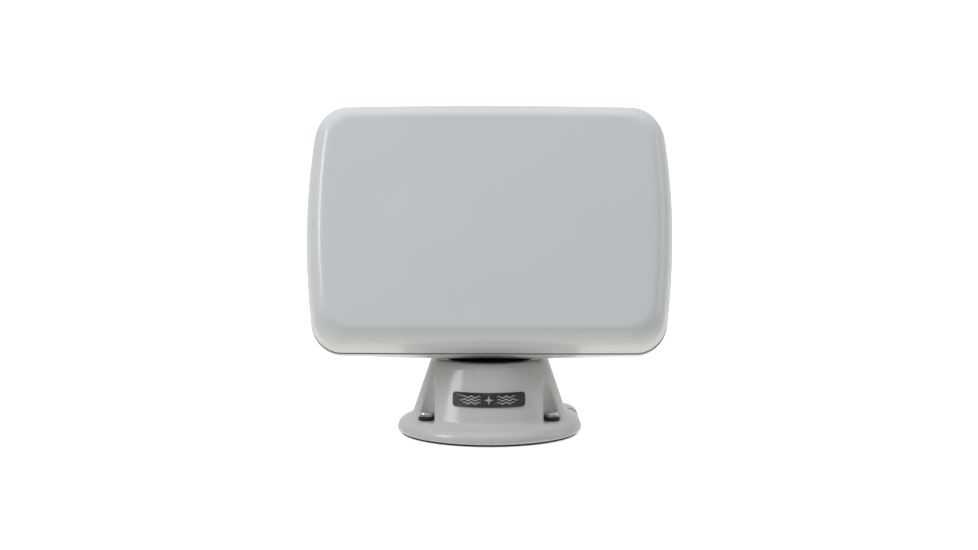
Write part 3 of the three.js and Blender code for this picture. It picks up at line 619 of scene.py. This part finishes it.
def underside_slots():
    bolts = [middle_mm(f"clamp_bolt_{side}")[0] for side in ("left", "right")]
    slots = [arc_cutter(x, CLAMP_BOLT_RADIUS + SLOT_MARGIN, CLAMP_BOLT_RADIUS + 1) for x in bolts]
    return [*slots, arc_cutter(0, CABLE_RADIUS + 1, CABLE_RADIUS)]


def perimeter_gasket_mesh():
    """The cord of rubber in the seam, with a crowned outer edge."""
    inner = LIP_INSET - GASKET_SEAT_GAP
    section = rounded([(GASKET_HALF, inner, 0.3), (GASKET_HALF, GASKET_INSET, 0.6),
                       (-GASKET_HALF, GASKET_INSET, 0.6), (-GASKET_HALF, inner, 0.3)])
    return lofted("perimeter_gasket", [pod_ring(depth, inset) for depth, inset in section], closed=True)


def dress_pod(materials):
    for name, node, mesh, material in [
        ("front_shell_moulding", "front_shell", front_shell_mesh(), "pod_white"),
        ("rear_shell_moulding", "rear_shell", rear_shell_mesh(), "pod_white"),
        ("perimeter_seal", "perimeter_gasket", perimeter_gasket_mesh(), "rubber"),
    ]:
        add_piece(name, placed(mesh, TO_WORLD), node, materials[material])


# ---------------------------------------------------------------- pedestal

PEDESTAL_LOW, PEDESTAL_HIGH = box_mm("pedestal_shell")
BASE_BOTTOM = PEDESTAL_LOW[2]
PEDESTAL_TOP = PEDESTAL_HIGH[2]
FLANGE_RADIUS = 86.4
FLANGE_TOP = 14.2
FLANGE_CROWN = 9.6
FLANGE_FOOT = 2.7
EAR_ANGLE = math.radians(45.5)
EAR_DISTANCE = 84
EAR_CENTRE = (EAR_DISTANCE * math.cos(EAR_ANGLE), EAR_DISTANCE * math.sin(EAR_ANGLE))
EAR_RADIUS = 25
EAR_SPREAD = math.acos((FLANGE_RADIUS - EAR_RADIUS) / EAR_DISTANCE)
CONE_FOOT_RADIUS = 78.5
CONE_SLOPE = 0.339
CONE_LEAN = math.atan(CONE_SLOPE)
CONE_SHOULDER = 5.5
FOOT_FILLET = 7
POCKET_FLOOR = 16
POCKET_RADIUS = 8
POCKET_EDGE = 2.2
POCKET_CORNER = 2.0
SHANK_HOLE = 3.6
CAVITY_FOOT = 57
CAVITY_THROAT = 52
CAVITY_THROAT_HEIGHT = 12
CAVITY_CROWN = 49
CAVITY_TOP = 58.5
HUB_RADIUS = 27
HUB_BOTTOM = 50
BORE_RADIUS = 20.4
RECESS_RADIUS = 42
RECESS_FLOOR = 64
STOP_CIRCLE = 35.5
PIN_HOLE = 2.1
GASKET_MARGIN = 3
PEDESTAL_VOXEL = 1.0
PEDESTAL_REACH = 4.5
PEDESTAL_ROUNDS = 8


def cone_field(radius, height):
    side = (radius - CONE_FOOT_RADIUS) * math.cos(CONE_LEAN) + height * math.sin(CONE_LEAN)
    return meet(side, height - PEDESTAL_TOP, CONE_SHOULDER)


def lobed_distance(x, y):
    """Distance outside the flange's outline, which runs straight from its rim to its ear."""
    along = x * math.cos(EAR_ANGLE) + y * math.sin(EAR_ANGLE)
    across = np.abs(y * math.cos(EAR_ANGLE) - x * math.sin(EAR_ANGLE))
    share = across * math.cos(EAR_SPREAD) - along * math.sin(EAR_SPREAD)
    straight = across * math.sin(EAR_SPREAD) + along * math.cos(EAR_SPREAD) - FLANGE_RADIUS
    by_ear = np.hypot(across, along - EAR_DISTANCE) - EAR_RADIUS
    by_rim = np.hypot(across, along) - FLANGE_RADIUS
    past_ear = share < -EAR_DISTANCE * math.sin(EAR_SPREAD)
    return np.where(share > 0, by_rim, np.where(past_ear, by_ear, straight))


def bullnose_field(outside, height):
    crown = meet(outside, height - FLANGE_TOP, FLANGE_CROWN)
    return meet(crown, BASE_BOTTOM - height, FLANGE_FOOT)


def deck_screw_centres():
    return [middle_mm(f"sealing_washer_{place}")[:2] for place in SCREW_PLACES]


def pedestal_field(points):
    x, y, z = points.T
    radius = np.hypot(x, y)
    body = join(bullnose_field(lobed_distance(x, y), z), cone_field(radius, z), FOOT_FILLET)
    body = meet(body, BASE_BOTTOM - z)
    for centre_x, centre_y in deck_screw_centres():
        across = x - centre_x
        inward = np.minimum((y - centre_y) * math.copysign(1, centre_y), 0)
        plan = np.hypot(across, inward) - POCKET_RADIUS
        body = cut(body, meet(plan, POCKET_FLOOR - z, POCKET_CORNER), POCKET_EDGE)
        body = cut(body, np.hypot(across, y - centre_y) - SHANK_HOLE, 0.3)
    return cut(body, pedestal_hollow(x, y, z, radius), 0.4)


def pedestal_hollow(x, y, z, radius):
    """The cavity, the swivel's bore and recess, and the stop pin's hole."""
    foot_slope = (CAVITY_FOOT - CAVITY_THROAT) / CAVITY_THROAT_HEIGHT
    wall_slope = (CAVITY_THROAT - CAVITY_CROWN) / (HUB_BOTTOM - CAVITY_THROAT_HEIGHT)
    foot = (radius - CAVITY_FOOT + foot_slope * z) * math.cos(math.atan(foot_slope))
    wall = radius - CAVITY_THROAT + wall_slope * (z - CAVITY_THROAT_HEIGHT)
    room = meet(join(wall, foot), z - CAVITY_TOP, 1)
    hub = meet(radius - HUB_RADIUS, HUB_BOTTOM - z)
    bore = meet(radius - BORE_RADIUS, HUB_BOTTOM - HUB_RADIUS - z)
    recess = meet(radius - RECESS_RADIUS, RECESS_FLOOR - z)
    pin = meet(np.hypot(x, y - STOP_CIRCLE) - PIN_HOLE, HUB_BOTTOM - z)
    return join(join(cut(room, hub, 1), bore), join(recess, pin))


def base_gasket_mesh():
    """A rubber ring under the flange and its ear, with a softly rounded edge."""
    low, high = box_mm("base_gasket")
    angles = np.linspace(0, 2 * math.pi, 240, endpoint=False)
    aims = np.stack([np.cos(angles), np.sin(angles)], 1)
    at_ear = (np.cos(angles - EAR_ANGLE) > math.cos(EAR_SPREAD))[:, None]
    outer = np.where(at_ear, aims * (EAR_RADIUS - GASKET_MARGIN) + EAR_CENTRE,
                     aims * (FLANGE_RADIUS - GASKET_MARGIN))
    section = rounded([(FLANGE_RADIUS, low[2], 0), (0, low[2], 0.5), (0, high[2], 0.5),
                       (FLANGE_RADIUS, high[2], 0)])
    opening = aims * (CAVITY_FOOT + 1)
    rings = []
    for inset, height in section:
        spot = opening if inset == FLANGE_RADIUS else outer - aims * inset
        rings.append(np.column_stack([spot, np.full(len(angles), height)]))
    return lofted("base_gasket", rings, closed=True)


HEAD_CROWN_SHARE = 0.62
RECESS_WIDTH_SHARE = 0.22
RECESS_LENGTH_SHARE = 1.15
DECK_SHANK_RADIUS = 3
DECK_THREAD_PITCH = 1.25
DECK_HEAD_LIFT = 0.2
DECK_FIRST_TURN = 0.35
DECK_TURN_STEP = 1.1
WASHER_BORE = 3.4
WASHER_ROUND = 1.2
WASHER_INNER_ROUND = 0.3


def cross_recess(width, length, depth, top):
    """Two crossed wedges that cut a driver's recess down from top."""
    cutters = []
    for turn in (0, 1):
        wide, narrow = length / 2, length / 5
        rings = [[(-s, -w, z), (s, -w, z), (s, w, z), (-s, w, z)]
                 for s, w, z in [(narrow, width * 0.32, top - depth), (wide, width / 2, top + 0.5)]]
        wedge = lofted("wedge", rings)
        wedge.transform(Matrix.Rotation(turn * math.pi / 2, 4, "Z"))
        cutters.append(wedge)
    return cutters


def pan_screw(name, head_radius, shank_radius, tip, head_bottom, top, pitch):
    """A threaded pan-head screw standing on Z with a cross recess in its domed head."""
    crown = (top - head_bottom) * HEAD_CROWN_SHARE
    outline = rounded([
        (0, tip, 0), (shank_radius * 0.75, tip, 0), (shank_radius, tip + shank_radius * 0.5, 0.2),
        (shank_radius, head_bottom, 0), (head_radius, head_bottom, 0.3),
        (head_radius, top, crown), (0, top, 0),
    ], 8)
    body = turned(name, threaded(outline, shank_radius, tip, head_bottom, pitch), 64)
    recess = cross_recess(head_radius * RECESS_WIDTH_SHARE, head_radius * RECESS_LENGTH_SHARE, crown, top)
    return combined(body, recess, "DIFFERENCE", CRISP_DEGREES)


def threaded(outline, radius, tip, top, pitch):
    """The outline with rings of thread cut into its shank."""
    start = tip + radius * 0.5 + pitch
    crests = np.arange(start, top - pitch * 2, pitch)
    teeth = [(radius - drop, crest + shift) for crest in crests
             for drop, shift in ((0, 0), (pitch * 0.45, pitch * 0.5))]
    below = (outline[:, 1] < start) & (outline[:, 0] <= radius + 1e-6)
    return np.array([*outline[below], *teeth, *outline[~below]])


def dress_deck_screws(materials):
    for index, place in enumerate(SCREW_PLACES):
        at = middle_mm(f"deck_screw_{place}")
        low, high = box_mm(f"deck_screw_{place}")
        washer_low, washer_high = box_mm(f"sealing_washer_{place}")
        head_radius = (high[0] - low[0]) / 2
        screw = pan_screw("deck_screw", head_radius, DECK_SHANK_RADIUS, low[2],
                          washer_high[2] + DECK_HEAD_LIFT, high[2], DECK_THREAD_PITCH)
        turn = Matrix.Rotation(DECK_FIRST_TURN + DECK_TURN_STEP * index, 4, "Z")
        spot = Matrix.Translation((at[0], at[1], 0))
        add_piece(f"deck_screw_head_{place}", placed(screw, spot @ turn), f"deck_screw_{place}",
                  materials["stainless"])
        radius = (washer_high[0] - washer_low[0]) / 2
        section = rounded([
            (WASHER_BORE, washer_low[2], WASHER_INNER_ROUND), (radius, washer_low[2], WASHER_ROUND),
            (radius, washer_high[2], WASHER_ROUND), (WASHER_BORE, washer_high[2], WASHER_INNER_ROUND),
        ])
        washer = turned("washer", section, 64, closed=True)
        add_piece(f"sealing_ring_{place}", placed(washer, spot), f"sealing_washer_{place}",
                  materials["rubber"])


def dress_pedestal(materials):
    shell = settled("pedestal_shell", "pedestal_shell", pedestal_field, PEDESTAL_VOXEL,
                    reach=PEDESTAL_REACH, rounds=PEDESTAL_ROUNDS)
    add_piece("pedestal_moulding", shell, "pedestal_shell", materials["pedestal_white_and_painted_shade"])
    add_piece("base_seal", base_gasket_mesh(), "base_gasket", materials["rubber"])
    dress_deck_screws(materials)


# ---------------------------------------------------------------- badge

BADGE_CORNER = 3.2
BADGE_THICK = 1.0
BADGE_LIFT = 0.4
PRINT_HEIGHT = 0.12
PRINT_SINK = 0.2
STAR_POINTS = 4
STAR_OUTER = 4.4
STAR_INNER = 1.3
STAR_EDGE = 0.05
STROKE_START = 7.5
STROKE_END = 28
STROKE_SHORTENING = 3
STROKE_SPACING = 2.7
STROKE_THICK = 1.15
STROKE_CRESTS = 3


def on_cone(across, height, lift):
    """A point over the front of the cone: across is measured along the surface."""
    radius = CONE_FOOT_RADIUS - CONE_SLOPE * height + lift
    angle = across / radius
    return (radius * math.sin(angle), -radius * math.cos(angle), height)


def plate_on_cone(name, outline, inner, outer, middle_height, edge=0.25):
    """A thin plate bent round the cone. The outline is (across, up) points about its middle."""
    outline = np.asarray(outline, float)
    centre = outline.mean(0)
    rings = []
    for shrink, lift in [(0.02, inner), (0.5, inner), (1, inner), (1, outer - edge), (None, outer),
                         (0.5, outer), (0.02, outer)]:
        if shrink is None:
            reach = np.linalg.norm(outline - centre, axis=1, keepdims=True)
            shape = centre + (outline - centre) * (1 - edge / reach)
        else:
            shape = centre + (outline - centre) * shrink
        rings.append([on_cone(a, middle_height + u, lift) for a, u in shape])
    return lofted(name, rings)


def rounded_rectangle(half_width, half_height, corner, steps=8, side_steps=16):
    centres = [(half_width - corner, half_height - corner), (-half_width + corner, half_height - corner),
               (-half_width + corner, -half_height + corner), (half_width - corner, -half_height + corner)]
    points = []
    for index, (x, y) in enumerate(centres):
        arc = [(x + corner * math.cos((index + step / steps) * math.pi / 2),
                y + corner * math.sin((index + step / steps) * math.pi / 2)) for step in range(steps + 1)]
        points += arc
        next_x, next_y = centres[(index + 1) % 4]
        start = arc[-1]
        for step in range(1, side_steps):
            share = step / side_steps
            points.append((start[0] + (next_x - x) * share, start[1] + (next_y - y) * share))
    return points


def star(points, outer, inner):
    """A compass star of alternating long and short radii."""
    return [((outer if i % 2 == 0 else inner) * math.sin(math.pi * i / points),
             (outer if i % 2 == 0 else inner) * math.cos(math.pi * i / points)) for i in range(2 * points)]


def wave_stroke(start, end, up, thick, crests):
    """A wavy stroke with tapered ends, as a closed outline."""
    steps = 36
    shares = [step / steps for step in range(steps + 1)]
    rise = 0.75

    def at(share, side):
        swing = rise * math.sin(share * crests * 2 * math.pi)
        half = thick / 2 * math.sin(math.pi * min(max(share, 0.04), 0.96)) ** 0.35
        return start + (end - start) * share, up + swing + side * half
    return [at(share, 1) for share in shares] + [at(share, -1) for share in reversed(shares)]


def strip_on_cone(name, outline, inner, outer, middle_height):
    """A thin raised stroke bent round the cone, from an outline whose two long edges have equal counts."""
    half = len(outline) // 2
    upper = outline[:half]
    lower = list(reversed(outline[half:]))
    rings = []
    for (ua, ub), (la, lb) in zip(upper, lower):
        rings.append([on_cone(la, middle_height + lb, inner), on_cone(la, middle_height + lb, outer),
                      on_cone(ua, middle_height + ub, outer), on_cone(ua, middle_height + ub, inner)])
    return lofted(name, rings)


def joined_meshes(name, meshes):
    form = bmesh.new()
    for mesh in meshes:
        form.from_mesh(mesh)
    whole = bpy.data.meshes.new(name)
    form.to_mesh(whole)
    form.free()
    whole.shade_smooth()
    whole.set_sharp_from_angle(angle=math.radians(CRISP_DEGREES))
    return whole


def dress_badge(materials):
    low, high = box_mm("badge_plate")
    middle = (low[2] + high[2]) / 2
    half_height = (high[2] - low[2]) / 2
    radius = CONE_FOOT_RADIUS - CONE_SLOPE * middle
    half_width = radius * math.asin(high[0] / radius)
    outline = rounded_rectangle(half_width, half_height, BADGE_CORNER)
    plate = plate_on_cone("badge", outline, BADGE_LIFT, BADGE_LIFT + BADGE_THICK, middle)
    add_piece("badge_face", plate, "badge_plate", materials["badge"])
    surface = BADGE_LIFT + BADGE_THICK
    sunk, raised = surface - PRINT_SINK, surface + PRINT_HEIGHT
    compass = star(STAR_POINTS, STAR_OUTER, STAR_INNER)
    marks = [plate_on_cone("star", compass, sunk, raised, middle, STAR_EDGE)]
    for side in (-1, 1):
        for line in (-1, 0, 1):
            end = side * (STROKE_END - STROKE_SHORTENING * abs(line))
            stroke = wave_stroke(side * STROKE_START, end, line * STROKE_SPACING, STROKE_THICK,
                                 STROKE_CRESTS - abs(line) / 2)
            marks.append(strip_on_cone("wave", stroke, sunk, raised, middle))
    emblem = scratch_object(joined_meshes("badge_marks", marks))
    emblem.data.materials.append(materials["badge_print"])
    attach(emblem, "pedestal")


# ---------------------------------------------------------------- turntable

DISC_RADIUS = 41.5
DISC_BOTTOM = 67
DISC_TOP = 71.8
DISC_EDGE = 0.9
STEM_RADIUS = 19
STEM_BOTTOM = 40
O_RING_HEIGHT = 58.1
O_RING_GROOVE = 1.5
CRADLE_HALF_WIDTH = 34
CRADLE_TOP = 92
CRADLE_FRONT = -28
CRADLE_BACK = 26
CRADLE_EDGE = 2.5
TROUGH_RADIUS = BARREL_RADIUS + 0.3
STOP_GROOVE_HALF = 2.6
STOP_GROOVE_TOP = 69.5
SWIVEL_LIMIT = math.radians(150)
LUG_HALF_ANGLE = math.pi - SWIVEL_LIMIT - PIN_HOLE / STOP_CIRCLE
BOLT_HOLE_RADIUS = 2.8
BOLT_HOLE_END = 67.5
SOFT_EDGE = 0.5
SADDLE_VOXEL = 0.8


def turntable_field(z, radius):
    """The disc and its stem, with the seal's groove."""
    plate = meet(meet(radius - DISC_RADIUS, z - DISC_TOP, DISC_EDGE), DISC_BOTTOM - z, SOFT_EDGE)
    stem = meet(meet(radius - STEM_RADIUS, z - DISC_TOP, SOFT_EDGE), STEM_BOTTOM - z, 2 * SOFT_EDGE)
    ring = meet(STEM_RADIUS - O_RING_GROOVE - radius, np.abs(z - O_RING_HEIGHT) - O_RING_GROOVE)
    return join(plate, cut(stem, ring, 0.1), SOFT_EDGE)


def stop_groove_field(x, y, z, radius):
    """An annular groove, apart from the solid lug at the front that meets the stop pin."""
    groove = meet(np.abs(radius - STOP_CIRCLE) - STOP_GROOVE_HALF, z - STOP_GROOVE_TOP, 0.3)
    lug = np.abs(x) * math.cos(LUG_HALF_ANGLE) + y * math.sin(LUG_HALF_ANGLE)
    return meet(groove, -lug, 0.3)


def saddle_field(points):
    x, y, z = points.T
    radius = np.hypot(x, y)
    cradle = meet(np.abs(x) - CRADLE_HALF_WIDTH, meet(CRADLE_FRONT - y, y - CRADLE_BACK), CRADLE_EDGE)
    cradle = meet(meet(cradle, radius - DISC_RADIUS, 2 * SOFT_EDGE),
                  meet(z - CRADLE_TOP, STOP_GROOVE_TOP - z), SOFT_EDGE)
    trough = np.hypot(y - TILT_AXIS.y, z - TILT_AXIS.z) - TROUGH_RADIUS
    cradle = cut(cradle, trough, 2 * SOFT_EDGE)
    body = join(turntable_field(z, radius), cradle, 2 * SOFT_EDGE)
    body = cut(body, stop_groove_field(x, y, z, radius), 0.2)
    lean = math.asin(-TILT_AXIS.y / BARREL_RADIUS)
    along = (y - TILT_AXIS.y) * math.cos(lean) + (z - TILT_AXIS.z) * math.sin(lean)
    below = (y - TILT_AXIS.y) * math.sin(lean) - (z - TILT_AXIS.z) * math.cos(lean)
    for bolt_x in (middle_mm("clamp_bolt_left")[0], middle_mm("clamp_bolt_right")[0]):
        hole = meet(np.hypot(x - bolt_x, along) - BOLT_HOLE_RADIUS, below - BOLT_HOLE_END)
        body = cut(body, hole, 0.2)
    return cut(body, radius - CABLE_RADIUS, SOFT_EDGE)


def dress_turntable(materials):
    saddle = settled("tilt_saddle", "tilt_saddle", saddle_field, SADDLE_VOXEL)
    add_piece("saddle_casting", saddle, "tilt_saddle", materials["nylon_black"])


# ---------------------------------------------------------------- cover screws and small pieces

COVER_HEAD_RADIUS = 4.6
COVER_SHANK_RADIUS = 2.1
COVER_TIP = -11
COVER_HEAD_BOTTOM = 27.8
COVER_HEAD_TOP = 31.0
COVER_THREAD_PITCH = 0.8
INSERT_RADIUS = 3.6
INSERT_BACK = -1.7
SEAL_RADIUS = 4.4
SEAL_FRONT = 26.3
SEAL_BACK = 27.5


def sleeve(name, radius, front, back):
    """A short round sleeve about a cover screw, with softened edges."""
    section = rounded([(SCREW_HOLE_RADIUS, front, 0.2), (radius, front, 0.5), (radius, back, 0.5),
                       (SCREW_HOLE_RADIUS, back, 0.2)])
    return turned(name, section, 40, closed=True)


def dress_cover_screws(materials):
    for place in COVER_PLACES:
        across, up = cover_place(place)
        matrix = TO_WORLD @ Matrix.Translation((across, 0, up)) @ Matrix.Rotation(-math.pi / 2, 4, "X")
        screw = pan_screw("cover_screw", COVER_HEAD_RADIUS, COVER_SHANK_RADIUS, COVER_TIP,
                          COVER_HEAD_BOTTOM, COVER_HEAD_TOP, COVER_THREAD_PITCH)
        add_piece(f"cover_screw_driven_{place}", placed(screw, matrix), f"cover_screw_{place}",
                  materials["stainless"])
        insert = sleeve("insert", INSERT_RADIUS, COVER_TIP, INSERT_BACK)
        add_piece(f"insert_{place}", placed(insert, matrix), f"threaded_insert_{place}",
                  materials["brass"])
        seal = sleeve("seal", SEAL_RADIUS, SEAL_FRONT, SEAL_BACK)
        add_piece(f"screw_seal_ring_{place}", placed(seal, matrix), f"screw_seal_{place}",
                  materials["rubber"])


KEPT_EDGE = 0.25
KEPT = {
    "thrust_washer": "acetal", "stop_pin": "stainless", "stem_o_ring": "rubber", "friction_washer": "acetal",
    "spring_washer": "stainless", "swivel_nut": "stainless", "nut_lock_screw": "stainless",
    "clamp_plate": "stainless", "clamp_bolt_left": "stainless", "clamp_bolt_right": "stainless",
    "lock_washer_left": "stainless", "lock_washer_right": "stainless",
}


def dress_kept_nodes(materials):
    """CAD pieces inside the object keep their shape, with softened edges and a real finish."""
    for node, material in KEPT.items():
        obj = frame["nodes"][node]
        obj.data.materials.clear()
        obj.data.materials.append(materials[material])
        bevel = obj.modifiers.new("edge", "BEVEL")
        bevel.width = KEPT_EDGE * MM
        bevel.segments = 2
        bevel.limit_method = "ANGLE"


# ---------------------------------------------------------------- stage

def aim(obj, target):
    obj.rotation_euler = (Vector(target) - obj.location).to_track_quat("-Z", "Y").to_euler()


CAMERA_AZIMUTH = math.radians(0.6)
CAMERA_ELEVATION = math.radians(7.5)
CAMERA_DISTANCE_M = 2.8
CAMERA_TARGET_M = (-0.0005, 0, 0.148)


def add_camera():
    azimuth, elevation = CAMERA_AZIMUTH, CAMERA_ELEVATION
    target = Vector(CAMERA_TARGET_M)
    forward = Vector((-math.sin(azimuth) * math.cos(elevation), math.cos(azimuth) * math.cos(elevation),
                      -math.sin(elevation)))
    data = bpy.data.cameras.new("camera")
    data.lens = 110
    data.sensor_width = 36
    camera = bpy.data.objects.new("camera", data)
    bpy.context.scene.collection.objects.link(camera)
    camera.location = target - forward * CAMERA_DISTANCE_M
    aim(camera, target)
    bpy.context.scene.camera = camera


def add_light(name, location, target, size, watts, colour=(1, 1, 1)):
    data = bpy.data.lights.new(name, "AREA")
    data.shape = "RECTANGLE"
    data.size, data.size_y = size
    data.energy = watts
    data.color = colour
    light = bpy.data.objects.new(name, data)
    bpy.context.scene.collection.objects.link(light)
    light.location = location
    aim(light, target)


def add_floor():
    bpy.ops.mesh.primitive_plane_add(size=30, location=(0, 0, -0.0005))
    floor = bpy.context.object
    floor.name = "floor"
    material = bpy.data.materials.new("floor")
    material.use_nodes = True
    tree = material.node_tree
    shader = tree.nodes["Principled BSDF"]
    place_at = node_of(tree, "ShaderNodeTexCoord").outputs["Object"]
    tone = mixed(tree, noise(tree, place_at, 3), (0.9, 0.9, 0.9), (0.93, 0.93, 0.93))
    tree.links.new(tone, shader.inputs["Base Color"])
    shader.inputs["Roughness"].default_value = 0.9
    shader.inputs["Emission Color"].default_value = (1, 1, 1, 1)
    shader.inputs["Emission Strength"].default_value = 0.55
    floor.data.materials.append(material)
    floor.visible_diffuse = False
    floor.visible_glossy = False


SURROUND_UNDER = (1.34, 1.31, 1.22)
FLOOR_BEHIND = (1.12, 1.10, 1.02)
SURROUND_BEHIND = (0.64, 0.64, 0.63)
SURROUND_LOW = (0.20, 0.20, 0.20)
SURROUND_HIGH = (0.76, 0.789, 0.820)


def add_world():
    """A pale surround, dimmer below. Its brightness as a backdrop is set apart from the light it gives."""
    world = bpy.data.worlds.new("studio")
    bpy.context.scene.world = world
    world.use_nodes = True
    tree = world.node_tree
    light = tree.nodes["Background"]
    light.inputs["Strength"].default_value = 1.0
    split = node_of(tree, "ShaderNodeSeparateXYZ")
    tree.links.new(node_of(tree, "ShaderNodeTexCoord").outputs["Generated"], split.inputs[0])
    floor = ranged(tree, split.outputs["Z"], -0.85, -0.4, 0, 1)
    sky = ranged(tree, split.outputs["Z"], -0.05, 0.7, 0, 1)
    behind = ranged(tree, split.outputs["Y"], 0.25, 0.8, 0, 1)
    wall = ranged(tree, split.outputs["Z"], -0.4, 0.0, 0, 1)
    lower = mixed(tree, floor, SURROUND_UNDER, SURROUND_LOW)
    ahead = mixed(tree, sky, lower, SURROUND_HIGH)
    back = mixed(tree, wall, FLOOR_BEHIND, SURROUND_BEHIND)
    tree.links.new(mixed(tree, behind, ahead, back), light.inputs["Color"])
    backdrop = node_of(tree, "ShaderNodeBackground", Color=(1, 1, 1, 1), Strength=1.1)
    choose = node_of(tree, "ShaderNodeMixShader")
    seen = node_of(tree, "ShaderNodeLightPath")
    tree.links.new(seen.outputs["Is Camera Ray"], choose.inputs[0])
    tree.links.new(light.outputs[0], choose.inputs[1])
    tree.links.new(backdrop.outputs[0], choose.inputs[2])
    tree.links.new(choose.outputs[0], tree.nodes["World Output"].inputs["Surface"])


def light_stage():
    centre = (0, 0, 0.15)
    add_light("overhead", (0, -0.25, 2.0), centre, (2.4, 2.0), 6)
    add_light("left_window", (-1.83, -0.93, 1.19), centre, (0.8, 1.0), 13)
    add_light("right_fill", (2.25, 0.1, 0.6), centre, (1.2, 1.2), 4)


def build():
    materials = make_materials()
    dress_pod(materials)
    dress_pedestal(materials)
    dress_badge(materials)
    dress_turntable(materials)
    dress_cover_screws(materials)
    dress_kept_nodes(materials)
    add_camera()
    add_floor()
    add_world()
    light_stage()
    bpy.context.scene.view_settings.view_transform = "Standard"


build()
